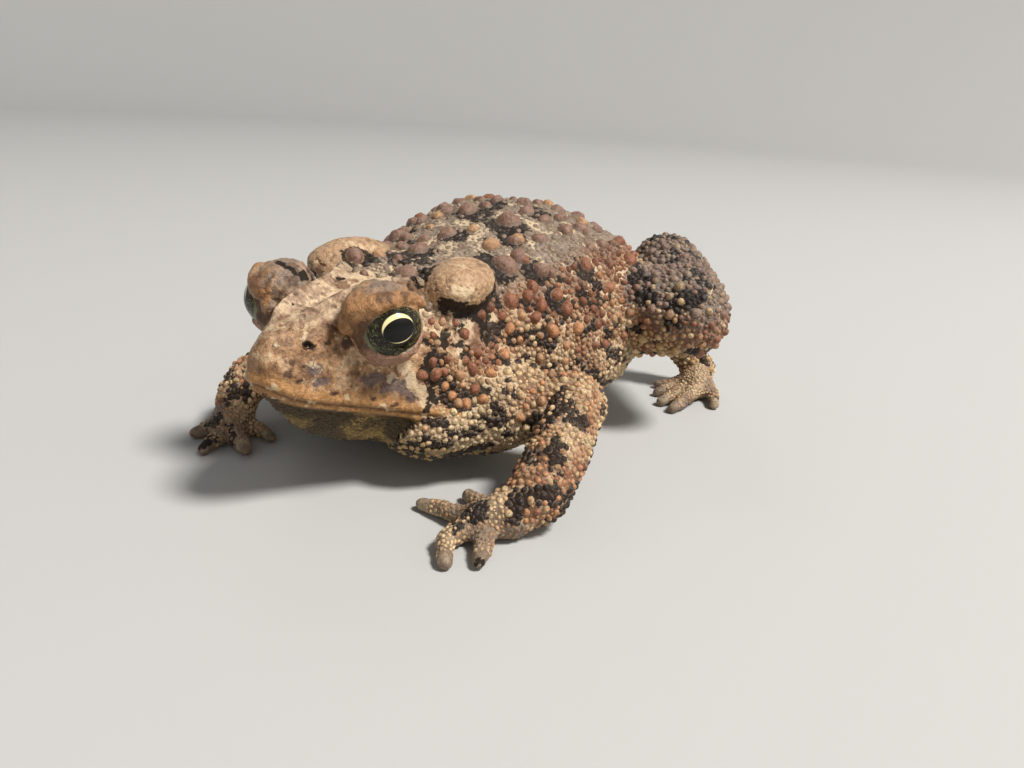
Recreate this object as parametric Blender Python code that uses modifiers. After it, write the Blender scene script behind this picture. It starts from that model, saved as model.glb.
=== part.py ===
"""An American toad at life size, as a still museum model.

The body is shaped as one form, rounded into one surface and then parted by thin cuts into the
parts that a person would name. The toad faces -Y, its left side is +X, and it rests on z = 0.
"""

import math

import bmesh
import bpy
import numpy as np
from mathutils import Matrix, Vector

MM = 0.001
COLLECTION_NAME = "american_toad"

# Lengths below are in millimetres. Y runs back from the tip of the snout and X out from the head's
# middle. A form is shifted by FRAME_X and FRAME_Y when it is made, so that the model stands centred
# on the origin.
FRAME_X = -1.262
FRAME_Y = -43.47

# The head and the trunk are lofts along Y. Each station is
# (y, half width, top height, bottom height, height of the widest line).
HEAD_STATIONS = [
    (0.0, 1.2, 21.2, 17.2, 19.2),
    (0.5, 2.1, 22.6, 16.2, 19.0),
    (2.0, 3.1, 24.0, 14.4, 18.4),
    (4.5, 4.3, 25.2, 11.8, 17.4),
    (8.0, 6.0, 26.4, 9.2, 16.2),
    (12.0, 8.3, 27.3, 7.4, 15.0),
    (17.0, 11.3, 27.9, 6.0, 14.0),
    (22.0, 13.7, 28.4, 5.0, 13.6),
    (27.0, 14.4, 28.4, 4.6, 14.0),
    (31.0, 12.4, 27.4, 5.6, 14.6),
    (34.0, 7.5, 24.0, 9.0, 15.5),
    (35.0, 2.0, 19.0, 14.0, 16.0),
]
HEAD_SQUARENESS = 2.35
TRUNK_STATIONS = [
    (18.0, 2.0, 18.0, 14.0, 16.0),
    (19.5, 7.0, 23.0, 9.5, 15.5),
    (23.0, 11.5, 26.2, 6.0, 14.8),
    (28.0, 14.0, 28.6, 4.2, 13.8),
    (34.0, 16.0, 30.0, 3.6, 13.2),
    (41.0, 19.4, 31.9, 3.2, 13.0),
    (49.0, 22.8, 33.7, 3.0, 13.0),
    (56.0, 23.8, 34.7, 3.0, 13.4),
    (62.0, 22.2, 34.3, 3.4, 14.0),
    (67.5, 18.9, 32.0, 4.6, 14.6),
    (72.5, 13.6, 27.4, 7.0, 15.0),
    (76.0, 7.9, 22.4, 10.2, 15.4),
    (78.0, 2.0, 17.4, 13.8, 15.6),
]
TRUNK_SQUARENESS = 2.32

# Rounded swellings on the left side: centre, radii and turn about Z in degrees.
PAROTOID = ((9.5, 28.0, 27.7), (4.1, 6.8, 3.2), 16.0)
EYELID = ((7.8, 13.0, 27.1), (3.5, 5.0, 3.0), -12.0)
SHOULDER = ((14.2, 30.0, 10.0), (6.6, 7.6, 6.6), 0.0)
CHEST = ((9.2, 24.6, 8.6), (6.6, 8.4, 5.2), 0.0)
HAUNCH = ((14.4, 62.8, 21.2), (7.6, 7.0, 9.2), 0.0)

# The eyeball sits in a socket that is larger all round by the cut between parts.
EYE_CENTRE = (9.2, 13.0, 24.5)
EYE_RADIUS = 4.1

# Limbs are chains of (centre, radius). Each list starts inside the body.
LEFT_UPPER_ARM = [((12.0, 30.0, 11.0), 6.2), ((18.5, 31.8, 11.0), 4.9), ((24.8, 34.6, 11.6), 4.2)]
LEFT_FOREARM = [((25.0, 34.6, 11.4), 4.2), ((27.2, 26.6, 8.4), 4.2), ((28.0, 19.2, 4.9), 3.9),
                ((26.2, 16.0, 3.3), 2.9)]
LEFT_PALM = [((26.2, 16.0, 3.1), 2.9), ((23.6, 13.6, 2.4), 2.7)]
LEFT_DIGITS = [
    [((24.4, 16.4, 2.0), 1.7), ((20.6, 18.6, 1.6), 1.35), ((17.6, 19.8, 1.2), 1.15)],
    [((22.6, 13.8, 2.0), 1.7), ((18.0, 14.2, 1.6), 1.35), ((13.9, 14.4, 1.1), 1.1)],
    [((22.9, 12.6, 2.0), 1.7), ((22.0, 8.2, 1.7), 1.35), ((24.2, 4.9, 1.1), 1.1)],
    [((24.4, 12.8, 1.9), 1.7), ((26.4, 9.6, 1.5), 1.3), ((27.4, 7.2, 1.1), 1.1)],
]
RIGHT_UPPER_ARM = [((-12.0, 30.0, 10.4), 6.2), ((-17.6, 29.4, 9.4), 4.8), ((-22.6, 28.6, 8.8), 4.0)]
RIGHT_FOREARM = [((-22.6, 28.4, 8.8), 4.0), ((-24.2, 21.4, 7.6), 3.6), ((-24.0, 18.4, 5.8), 3.1),
                 ((-23.4, 17.4, 4.2), 2.8)]
RIGHT_PALM = [((-23.4, 17.4, 3.6), 2.8), ((-22.6, 15.4, 2.6), 2.7)]
RIGHT_DIGITS = [
    [((-21.6, 16.8, 2.0), 1.7), ((-18.4, 17.6, 1.6), 1.3), ((-16.2, 17.4, 1.1), 1.1)],
    [((-21.6, 14.8, 2.0), 1.7), ((-18.6, 13.4, 1.6), 1.35), ((-16.0, 12.2, 1.1), 1.1)],
    [((-22.2, 14.2, 2.0), 1.7), ((-21.2, 11.2, 1.6), 1.35), ((-20.6, 8.6, 1.1), 1.1)],
    [((-23.8, 15.2, 1.9), 1.7), ((-25.2, 13.0, 1.5), 1.3), ((-26.0, 11.6, 1.1), 1.1)],
]

# The right hind leg is folded lower than the left. The hind feet are alike, so one is given on the
# left and mirrored.
LEFT_THIGH = [((12.0, 64.0, 18.5), 7.6), ((22.0, 61.8, 19.6), 7.2), ((30.6, 60.6, 20.0), 6.4)]
LEFT_SHANK = [((30.8, 62.0, 20.6), 6.2), ((25.6, 69.6, 22.6), 6.2), ((21.6, 74.6, 24.2), 5.9),
              ((17.6, 79.0, 20.0), 4.3), ((16.8, 80.2, 18.2), 3.9)]
RIGHT_THIGH = [((-12.0, 64.0, 17.5), 7.6), ((-20.6, 62.6, 16.4), 6.8), ((-27.6, 61.9, 15.2), 6.0)]
RIGHT_SHANK = [((-27.8, 63.2, 15.6), 5.8), ((-23.9, 70.4, 17.4), 5.8), ((-20.4, 75.2, 18.6), 5.2),
               ((-17.4, 79.0, 17.6), 4.2), ((-16.8, 80.2, 17.0), 3.9)]
TARSUS = [((16.8, 80.2, 18.0), 3.9), ((22.0, 82.4, 10.6), 3.2), ((27.2, 84.0, 4.6), 3.0)]
SOLE = [((27.2, 84.0, 3.4), 2.9), ((28.7, 79.4, 2.6), 3.0)]
TOES = [
    [((26.4, 82.0, 2.0), 1.6), ((23.6, 80.2, 1.5), 1.2), ((21.4, 79.0, 1.1), 1.05)],
    [((27.0, 80.4, 2.0), 1.7), ((24.8, 77.2, 1.6), 1.3), ((23.0, 74.8, 1.1), 1.1)],
    [((28.0, 79.4, 2.1), 1.8), ((26.8, 75.0, 1.9), 1.4), ((25.4, 70.8, 1.1), 1.15)],
    [((29.2, 79.4, 2.2), 1.8), ((29.6, 74.6, 2.6), 1.45), ((28.2, 68.6, 1.15), 1.15)],
    [((29.8, 81.4, 2.0), 1.7), ((32.4, 78.8, 1.6), 1.3), ((33.6, 75.6, 1.1), 1.1)],
]

# Rounding of the joined forms, and the number of triangles kept.
VOXEL = 0.45
SMOOTH_STEPS = 5
BODY_TRIANGLES = 4450
SPHERE_RINGS = 10

# The soles are cut flat at the floor, and the parts are parted by cuts of this width.
CUT = 0.3
FLOOR_SINK = 0.25

# Each cut is a thin plate: (name, centre, direction across the cut, direction along it, half its
# length, half its width).
NECK_CUT = ("neck", (0.0, 29.0, 18.5), (0.0, 0.83, -0.56), (1.0, 0.0, 0.0), 21.5, 22.0)
HIND_CUTS = [
    ("hip_l", (21.6, 61.8, 19.0), (0.86, 0.51, 0.0), (-0.51, 0.86, 0.0), 12.0, 10.5),
    ("knee_l", (26.6, 65.0, 21.6), (0.50, 0.85, 0.15), (-0.85, 0.50, 0.0), 13.0, 10.5),
    ("ankle_l", (19.2, 81.2, 14.6), (0.56, 0.24, -0.79), (0.79, 0.0, 0.56), 4.9, 4.9),
    ("hip_r", (-20.8, 62.4, 18.2), (-0.86, 0.51, 0.0), (0.51, 0.86, 0.0), 12.0, 11.6),
    ("knee_r", (-24.9, 65.9, 16.8), (-0.50, 0.85, 0.15), (0.85, 0.50, 0.0), 12.0, 9.6),
    ("ankle_r", (-20.4, 81.8, 12.6), (-0.56, 0.24, -0.79), (-0.79, 0.0, 0.56), 5.2, 5.2),
]
LEFT_ARM_CUTS = [
    ("shoulder_l", (21.2, 33.0, 11.2), (1.0, -0.05, 0.0), (0.05, 1.0, 0.0), 6.6, 7.0),
    ("elbow_l", (25.4, 32.6, 10.9), (0.25, -0.90, -0.36), (1.0, 0.28, 0.0), 6.4, 6.4),
    ("wrist_l", (26.0, 15.9, 3.2), (-0.78, -0.60, -0.18), (0.6, -0.78, 0.0), 4.6, 4.6),
]
RIGHT_ARM_CUTS = [
    ("shoulder_r", (-19.3, 29.0, 9.2), (-1.0, -0.12, -0.06), (-0.12, 1.0, 0.0), 6.0, 6.6),
    ("elbow_r", (-23.4, 25.6, 8.4), (-0.2, -0.96, -0.15), (0.98, -0.2, 0.0), 6.0, 6.0),
    ("wrist_r", (-23.4, 17.2, 4.4), (0.05, -0.25, -0.95), (1.0, 0.0, 0.05), 4.6, 4.6),
]

# Where each part's middle is, for naming the pieces once the cuts are made.
PART_CENTRES = {
    "head": (0.0, 12.0, 17.0),
    "trunk": (0.0, 50.0, 18.0),
    "upper_arm_l": (24.0, 34.0, 11.5),
    "forearm_l": (29.0, 24.0, 7.0),
    "hand_l": (22.5, 12.5, 2.0),
    "upper_arm_r": (-23.5, 29.0, 12.5),
    "forearm_r": (-25.2, 20.5, 8.0),
    "hand_r": (-22.5, 14.0, 2.0),
    "thigh_l": (26.0, 62.0, 20.0),
    "shank_l": (23.0, 73.0, 20.0),
    "foot_l": (27.0, 78.5, 3.5),
    "thigh_r": (-25.0, 62.5, 15.5),
    "shank_r": (-22.0, 73.5, 17.0),
    "foot_r": (-27.0, 78.5, 3.5),
}

SKIN_COLOUR = (0.30, 0.19, 0.11, 1.0)
LEG_COLOUR = (0.26, 0.17, 0.10, 1.0)
HAND_COLOUR = (0.40, 0.27, 0.16, 1.0)
EYE_COLOUR = (0.03, 0.025, 0.015, 1.0)


def clear_scene():
    for obj in list(bpy.data.objects):
        bpy.data.objects.remove(obj)


def new_collection(name):
    made = bpy.data.collections.new(name)
    bpy.context.scene.collection.children.link(made)
    return made


def place(point):
    """A point given in millimetres from the snout, in metres in the model's own frame."""
    return Vector((point[0] + FRAME_X, point[1] + FRAME_Y, point[2])) * MM


def mirrored(point):
    return (-point[0], point[1], point[2])


def mirrored_chain(chain):
    return [(mirrored(centre), radius) for centre, radius in chain]


def material(name, colour, roughness):
    made = bpy.data.materials.new(name)
    made.use_nodes = True
    shader = made.node_tree.nodes["Principled BSDF"]
    shader.inputs["Base Color"].default_value = colour
    shader.inputs["Roughness"].default_value = roughness
    shader.inputs["Metallic"].default_value = 0.0
    return made


def object_from(bm, name, collection):
    mesh = bpy.data.meshes.new(name)
    bm.to_mesh(mesh)
    bm.free()
    obj = bpy.data.objects.new(name, mesh)
    collection.objects.link(obj)
    return obj


def add_ellipsoid(bm, centre, radii, turn_degrees):
    """A uv sphere scaled to three radii, turned about Z and put in place."""
    turn = Matrix.Rotation(math.radians(turn_degrees), 4, "Z")
    size = Matrix.Diagonal((radii[0] * MM, radii[1] * MM, radii[2] * MM, 1.0))
    where = Matrix.Translation(place(centre))
    bmesh.ops.create_uvsphere(
        bm, u_segments=2 * SPHERE_RINGS, v_segments=SPHERE_RINGS, radius=1.0, matrix=where @ turn @ size
    )


def add_limb(bm, chain):
    """A rounded, tapering limb: the hull of each pair of neighbouring spheres in the chain."""
    for ends in zip(chain, chain[1:]):
        segment = bmesh.new()
        for centre, radius in ends:
            bmesh.ops.create_uvsphere(
                segment,
                u_segments=2 * SPHERE_RINGS,
                v_segments=SPHERE_RINGS,
                radius=radius * MM,
                matrix=Matrix.Translation(place(centre)),
            )
        hull = bmesh.ops.convex_hull(segment, input=segment.verts[:], use_existing_faces=False)
        inside = [item for item in hull["geom_interior"] if isinstance(item, bmesh.types.BMVert)]
        bmesh.ops.delete(segment, geom=inside, context="VERTS")
        mesh = bpy.data.meshes.new("segment")
        segment.to_mesh(mesh)
        segment.free()
        bm.from_mesh(mesh)
        bpy.data.meshes.remove(mesh)


def add_loft(bm, stations, squareness):
    """A uv sphere drawn out along Y, whose rings take the widths and heights of the stations."""
    table = np.array(stations)
    length = table[-1, 0] - table[0, 0]
    made = bmesh.ops.create_uvsphere(bm, u_segments=48, v_segments=40, radius=1.0)
    for vert in made["verts"]:
        along = (1.0 - vert.co.z) / 2.0
        y = table[0, 0] + along * length
        width, top, bottom, middle = (np.interp(y, table[:, 0], table[:, i]) for i in range(1, 5))
        angle = math.atan2(vert.co.y, vert.co.x)
        across = math.copysign(abs(math.cos(angle)) ** (2.0 / squareness), math.cos(angle))
        upward = math.copysign(abs(math.sin(angle)) ** (2.0 / squareness), math.sin(angle))
        ring = 0.0 if abs(vert.co.z) > 0.9999 else 1.0
        reach = top - middle if upward > 0.0 else middle - bottom
        vert.co = place((ring * across * width, y, middle + ring * upward * reach))


def body_forms(collection):
    """All the flesh, as overlapping rounded forms in one mesh."""
    bm = bmesh.new()
    add_loft(bm, HEAD_STATIONS, HEAD_SQUARENESS)
    add_loft(bm, TRUNK_STATIONS, TRUNK_SQUARENESS)
    for centre, radii, turn in (PAROTOID, EYELID, SHOULDER, CHEST, HAUNCH):
        add_ellipsoid(bm, centre, radii, turn)
        add_ellipsoid(bm, mirrored(centre), radii, -turn)
    chains = [LEFT_UPPER_ARM, LEFT_FOREARM, LEFT_PALM] + LEFT_DIGITS
    chains += [RIGHT_UPPER_ARM, RIGHT_FOREARM, RIGHT_PALM] + RIGHT_DIGITS
    chains += [LEFT_THIGH, LEFT_SHANK, RIGHT_THIGH, RIGHT_SHANK]
    for chain in [TARSUS, SOLE] + TOES:
        chains += [chain, mirrored_chain(chain)]
    for chain in chains:
        add_limb(bm, chain)
    bmesh.ops.recalc_face_normals(bm, faces=bm.faces)
    return object_from(bm, "body", collection)


def bake(obj):
    """The object's mesh with its modifiers applied."""
    graph = bpy.context.evaluated_depsgraph_get()
    mesh = bpy.data.meshes.new_from_object(obj.evaluated_get(graph))
    obj.modifiers.clear()
    obj.data = mesh


def round_off(body):
    """The forms become one surface, smoothed where they meet and brought down in triangles."""
    remesh = body.modifiers.new("one_surface", "REMESH")
    remesh.mode = "VOXEL"
    remesh.voxel_size = VOXEL * MM
    smooth = body.modifiers.new("soften", "SMOOTH")
    smooth.factor = 0.5
    smooth.iterations = SMOOTH_STEPS
    bake(body)
    triangles = 2 * len(body.data.polygons)
    decimate = body.modifiers.new("fewer_faces", "DECIMATE")
    decimate.ratio = BODY_TRIANGLES / triangles
    bake(body)


def cutter(bm, name, collection):
    made = object_from(bm, name, collection)
    made.hide_render = True
    made.display_type = "WIRE"
    return made


def add_plate(bm, centre, across, along, half_length, half_width):
    """A box as thin as a cut, square to one direction and lying along another."""
    normal = Vector(across).normalized()
    side = normal.cross(Vector(along)).normalized()
    length = side.cross(normal)
    turn = Matrix((length, side, normal)).transposed().to_4x4()
    size = Matrix.Diagonal((2 * half_length * MM, 2 * half_width * MM, CUT * MM, 1.0))
    bmesh.ops.create_cube(bm, size=1.0, matrix=Matrix.Translation(place(centre)) @ turn @ size)


def plate_cutter(name, plate, collection):
    bm = bmesh.new()
    add_plate(bm, *plate)
    return cutter(bm, name + "_cut", collection)


def parting_cutters(collection):
    """One thin plate for each cut that parts the body."""
    tools = [plate_cutter(NECK_CUT[0], NECK_CUT[1:], collection)]
    for name, *plate in LEFT_ARM_CUTS + RIGHT_ARM_CUTS + HIND_CUTS:
        tools.append(plate_cutter(name, plate, collection))
    return tools


def socket_cutter(side, collection):
    """A sphere a cut wider than the eyeball all round."""
    bm = bmesh.new()
    socket = (EYE_RADIUS + CUT) * MM
    where = Matrix.Translation(place((side * EYE_CENTRE[0], EYE_CENTRE[1], EYE_CENTRE[2])))
    bmesh.ops.create_uvsphere(bm, u_segments=28, v_segments=18, radius=socket, matrix=where)
    return cutter(bm, "socket_cutter", collection)


def floor_cutter(collection):
    """A block under the floor that leaves the soles flat at z = 0."""
    bm = bmesh.new()
    size = Matrix.Diagonal((0.3, 0.3, 0.02, 1.0))
    bmesh.ops.create_cube(bm, size=1.0, matrix=Matrix.Translation((0.0, 0.0, -0.01)) @ size)
    return cutter(bm, "floor_cutter", collection)


def cut(body, tool):
    made = body.modifiers.new(tool.name, "BOOLEAN")
    made.operation = "DIFFERENCE"
    made.solver = "EXACT"
    made.object = tool
    bake(body)


def loose_pieces(bm):
    """The separate pieces of a mesh, as sets of vertices."""
    pieces = []
    unseen = set(bm.verts)
    while unseen:
        piece = {unseen.pop()}
        front = list(piece)
        while front:
            vert = front.pop()
            near = {edge.other_vert(vert) for edge in vert.link_edges} - piece
            piece |= near
            front += list(near)
        unseen -= piece
        pieces.append(piece)
    return pieces


def part_name(piece):
    low = Vector(min(v.co[i] for v in piece) for i in range(3))
    high = Vector(max(v.co[i] for v in piece) for i in range(3))
    middle = (low + high) / 2.0
    return min(PART_CENTRES, key=lambda name: (place(PART_CENTRES[name]) - middle).length)


def part_body(body, collection):
    """Each loose piece of the cut body becomes a named object."""
    bm = bmesh.new()
    bm.from_mesh(body.data)
    for piece in loose_pieces(bm):
        name = part_name(piece)
        copy = bm.copy()
        kept = {v.index for v in piece}
        copy.verts.ensure_lookup_table()
        bmesh.ops.delete(copy, geom=[v for v in copy.verts if v.index not in kept], context="VERTS")
        object_from(copy, name, collection)
    bm.free()
    bpy.data.objects.remove(body)


def add_eyes(collection):
    for side, suffix in ((1.0, "l"), (-1.0, "r")):
        bm = bmesh.new()
        where = Matrix.Translation(place((side * EYE_CENTRE[0], EYE_CENTRE[1], EYE_CENTRE[2])))
        bmesh.ops.create_uvsphere(
            bm, u_segments=22, v_segments=12, radius=EYE_RADIUS * MM, matrix=where
        )
        object_from(bm, "eye_" + suffix, collection)


def paint(collection):
    for obj in collection.objects:
        colour, roughness = SKIN_COLOUR, 0.6
        if obj.name.startswith("eye"):
            colour, roughness = EYE_COLOUR, 0.08
        elif obj.name.startswith(("hand", "foot")):
            colour = HAND_COLOUR
        elif obj.name not in ("head", "trunk"):
            colour = LEG_COLOUR
        obj.data.materials.clear()
        obj.data.materials.append(material(obj.name + "_material", colour, roughness))


def main():
    clear_scene()
    toad = new_collection(COLLECTION_NAME)
    cutters = new_collection("cutters")
    cutters.hide_render = True
    body = body_forms(toad)
    round_off(body)
    body.data.transform(Matrix.Translation((0.0, 0.0, -FLOOR_SINK * MM)))
    tools = [floor_cutter(cutters), socket_cutter(1.0, cutters), socket_cutter(-1.0, cutters)]
    for tool in tools + parting_cutters(cutters):
        cut(body, tool)
    part_body(body, toad)
    add_eyes(toad)
    paint(toad)


main()
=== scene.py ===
"""Looks of a life-size American toad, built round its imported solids.

One warty skin stands for all the nodes of flesh, and two moist eyes stand for the eye nodes. The
skin is read off a distance field that is made of the same forms as the solids, so it has no seam.
Lengths are in millimetres with y = 0 at the tip of the snout, x to the toad's left and z up;
to_frame() turns them into metres in the model's frame.
"""

import math

import bmesh
import bpy
import numpy as np
from mathutils import Matrix, Vector


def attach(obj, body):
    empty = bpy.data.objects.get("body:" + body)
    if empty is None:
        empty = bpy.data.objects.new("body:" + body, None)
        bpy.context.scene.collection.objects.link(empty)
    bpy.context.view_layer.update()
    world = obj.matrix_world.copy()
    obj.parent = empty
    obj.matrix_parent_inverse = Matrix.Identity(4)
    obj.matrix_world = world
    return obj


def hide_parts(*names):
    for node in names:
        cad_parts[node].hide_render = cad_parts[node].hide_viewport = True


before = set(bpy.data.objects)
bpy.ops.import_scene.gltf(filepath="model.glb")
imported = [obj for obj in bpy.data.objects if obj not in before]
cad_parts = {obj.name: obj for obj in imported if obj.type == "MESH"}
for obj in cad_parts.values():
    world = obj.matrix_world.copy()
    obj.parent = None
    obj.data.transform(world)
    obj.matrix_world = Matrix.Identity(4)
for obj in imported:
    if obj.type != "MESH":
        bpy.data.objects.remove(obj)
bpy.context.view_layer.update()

MM = 0.001
FRAME_X = -1.262
FRAME_Y = -43.47
FLOOR_SINK = 0.25
SKIN_DEPTH = 0.14
SEED = 20

# The forms, as in the solids. Stations are (y, half width, top, bottom, height of widest line).
HEAD_STATIONS = [
    (-0.16, 0.3, 19.6, 18.4, 19.0), (0.0, 1.2, 21.2, 17.2, 19.2), (0.5, 2.1, 22.6, 16.2, 19.0),
    (2.0, 3.1, 24.0, 14.4, 18.4), (4.5, 4.3, 25.2, 11.8, 17.4), (8.0, 6.0, 26.4, 9.2, 16.2),
    (12.0, 8.3, 27.3, 7.4, 15.0), (17.0, 11.3, 27.9, 6.0, 14.0), (22.0, 13.7, 28.4, 5.0, 13.6),
    (27.0, 14.4, 28.4, 4.6, 14.0), (31.0, 12.4, 27.4, 5.6, 14.6), (34.0, 7.5, 24.0, 9.0, 15.5),
    (35.0, 2.0, 19.0, 14.0, 16.0),
]
HEAD_SQUARENESS = 2.35
TRUNK_STATIONS = [
    (18.0, 2.0, 18.0, 14.0, 16.0), (19.5, 7.0, 23.0, 9.5, 15.5), (23.0, 11.5, 26.2, 6.0, 14.8),
    (28.0, 14.0, 28.6, 4.2, 13.8), (34.0, 16.0, 30.0, 3.6, 13.2), (41.0, 19.4, 31.9, 3.2, 13.0),
    (49.0, 22.8, 33.7, 3.0, 13.0), (56.0, 23.8, 34.7, 3.0, 13.4), (62.0, 22.2, 34.3, 3.4, 14.0),
    (67.5, 18.9, 32.0, 4.6, 14.6), (72.5, 13.6, 27.4, 7.0, 15.0), (76.0, 7.9, 22.4, 10.2, 15.4),
    (78.0, 2.0, 17.4, 13.8, 15.6), (78.2, 0.4, 16.2, 14.8, 15.6),
]
TRUNK_SQUARENESS = 2.32

# Swellings on the left side: centre, radii, turn about Z in degrees.
PAROTOID = ((9.6, 28.0, 27.5), (4.5, 7.1, 3.5), 16.0)
EYELID = ((7.8, 13.0, 27.1), (3.5, 5.0, 3.0), -12.0)
SHOULDER = ((14.2, 30.0, 10.0), (6.6, 7.6, 6.6), 0.0)
CHEST = ((9.2, 24.6, 8.6), (6.6, 8.4, 5.2), 0.0)
HAUNCH = ((14.4, 62.8, 21.2), (7.6, 7.0, 9.2), 0.0)
EYE_CENTRE = (9.2, 13.0, 24.5)
EYE_RADIUS = 4.1

# Limbs are chains of (centre, radius).
UPPER_ARM_L = [((12.0, 30.0, 11.0), 6.2), ((18.5, 31.8, 11.0), 4.9), ((24.8, 34.6, 11.6), 4.2)]
FOREARM_L = [((25.0, 34.6, 11.4), 4.2), ((27.2, 26.6, 8.4), 4.2), ((28.0, 19.2, 4.9), 3.9),
             ((26.2, 16.0, 3.3), 2.9)]
PALM_L = [((26.2, 16.0, 3.1), 2.9), ((23.6, 13.6, 2.4), 2.7)]
DIGITS_L = [
    [((24.4, 16.4, 2.0), 1.7), ((20.6, 18.6, 1.6), 1.35), ((17.6, 19.8, 1.2), 1.15)],
    [((22.6, 13.8, 2.0), 1.7), ((18.0, 14.2, 1.6), 1.35), ((13.9, 14.4, 1.1), 1.1)],
    [((22.9, 12.6, 2.0), 1.7), ((22.0, 8.2, 1.7), 1.35), ((24.2, 4.9, 1.1), 1.1)],
    [((24.4, 12.8, 1.9), 1.7), ((26.4, 9.6, 1.5), 1.3), ((27.4, 7.2, 1.1), 1.1)],
]
UPPER_ARM_R = [((-12.0, 30.0, 10.4), 6.2), ((-17.6, 29.4, 9.4), 4.8), ((-22.6, 28.6, 8.8), 4.0)]
FOREARM_R = [((-22.6, 28.4, 8.8), 4.0), ((-24.2, 21.4, 7.6), 3.6), ((-24.0, 18.4, 5.8), 3.1),
             ((-23.4, 17.4, 4.2), 2.8)]
PALM_R = [((-23.4, 17.4, 3.6), 2.8), ((-22.6, 15.4, 2.6), 2.7)]
DIGITS_R = [
    [((-21.6, 16.8, 2.0), 1.7), ((-18.4, 17.6, 1.6), 1.3), ((-16.2, 17.4, 1.1), 1.1)],
    [((-21.6, 14.8, 2.0), 1.7), ((-18.6, 13.4, 1.6), 1.35), ((-16.0, 12.2, 1.1), 1.1)],
    [((-22.2, 14.2, 2.0), 1.7), ((-21.2, 11.2, 1.6), 1.35), ((-20.6, 8.6, 1.1), 1.1)],
    [((-23.8, 15.2, 1.9), 1.7), ((-25.2, 13.0, 1.5), 1.3), ((-26.0, 11.6, 1.1), 1.1)],
]
THIGH_L = [((12.0, 64.0, 18.5), 7.6), ((22.0, 61.8, 19.6), 7.2), ((30.6, 60.6, 20.0), 6.4)]
SHANK_L = [((30.8, 62.0, 20.6), 6.2), ((25.6, 69.6, 22.6), 6.2), ((21.6, 74.6, 24.2), 5.9),
           ((17.6, 79.0, 20.0), 4.3), ((16.8, 80.2, 18.2), 3.9)]
THIGH_R = [((-12.0, 64.0, 17.5), 7.6), ((-20.6, 62.6, 16.4), 6.8), ((-27.6, 61.9, 15.2), 6.0)]
SHANK_R = [((-27.8, 63.2, 15.6), 5.8), ((-23.9, 70.4, 17.4), 5.8), ((-20.4, 75.2, 18.6), 5.2),
           ((-17.4, 79.0, 17.6), 4.2), ((-16.8, 80.2, 17.0), 3.9)]
TARSUS = [((16.8, 80.2, 18.0), 3.9), ((22.0, 82.4, 10.6), 3.2), ((27.2, 84.0, 4.6), 3.0)]
SOLE = [((27.2, 84.0, 3.4), 2.9), ((28.7, 79.4, 2.6), 3.0)]
TOES = [
    [((26.4, 82.0, 2.0), 1.6), ((23.6, 80.2, 1.5), 1.2), ((21.4, 79.0, 1.1), 1.05)],
    [((27.0, 80.4, 2.0), 1.7), ((24.8, 77.2, 1.6), 1.3), ((23.0, 74.8, 1.1), 1.1)],
    [((28.0, 79.4, 2.1), 1.8), ((26.8, 75.0, 1.9), 1.4), ((25.4, 70.8, 1.1), 1.15)],
    [((29.2, 79.4, 2.2), 1.8), ((29.6, 74.6, 2.6), 1.45), ((28.2, 68.6, 1.15), 1.15)],
    [((29.8, 81.4, 2.0), 1.7), ((32.4, 78.8, 1.6), 1.3), ((33.6, 75.6, 1.1), 1.1)],
]

# Numbers of the body's parts in the map of owners.
TRUNK, HEAD, LID, ROLL, PAROTOID_PAD = range(1, 6)
ARM, FOREARM, HAND, THIGH_PART, SHANK_PART, FOOT = range(6, 12)
EYELIDS, HEAD_PARTS, TIPS = (LID, ROLL), (HEAD, LID, ROLL, PAROTOID_PAD), (HAND, FOOT)
ARM_PARTS, LEG_PARTS = (ARM, FOREARM, HAND), (THIGH_PART, SHANK_PART, FOOT)

# The grid of the distance field.
STEP = 0.36
GRID_LOW = np.array((-38.9, -1.4, -1.0))
GRID_HIGH = np.array((38.9, 88.6, 37.2))
GRID_COUNT = np.ceil((GRID_HIGH - GRID_LOW) / STEP).astype(int)
FAR = 6.0

# Eyes: where they look, the ball of the lids, the tilted opening between them, and the roll of the
# upper lid over it.
GAZE = (0.80, -0.52, 0.20)
LID_BALL = ((8.7, 13.3, 24.0), 4.62)
OPENING = (3.32, 2.52)
OPENING_DROP = 0.30
OPENING_TILT = 15.0
SOCKET_FLOOR = 3.7
LID_ROLL = [((6.3, 8.9, 25.0), 1.20), ((6.7, 8.8, 26.3), 0.72), ((7.9, 8.8, 27.1), 1.35),
            ((9.5, 9.7, 27.8), 1.15), ((10.6, 11.4, 28.3), 1.20), ((11.2, 13.5, 28.2), 1.0),
            ((11.4, 15.5, 27.7), 0.85), ((11.4, 16.8, 27.0), 0.60)]

# Fillets where a form joins the ones before it.
BODY_FILLET, PAD_FILLET, LID_FILLET, BALL_FILLET = 3.0, 2.2, 1.2, 1.4
LIMB_FILLET, ELBOW_FILLET, PALM_FILLET, DIGIT_FILLET = 2.4, 1.4, 1.2, 0.8
ROLL_FILLET, RIM_FILLET = 0.4, 0.25

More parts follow.
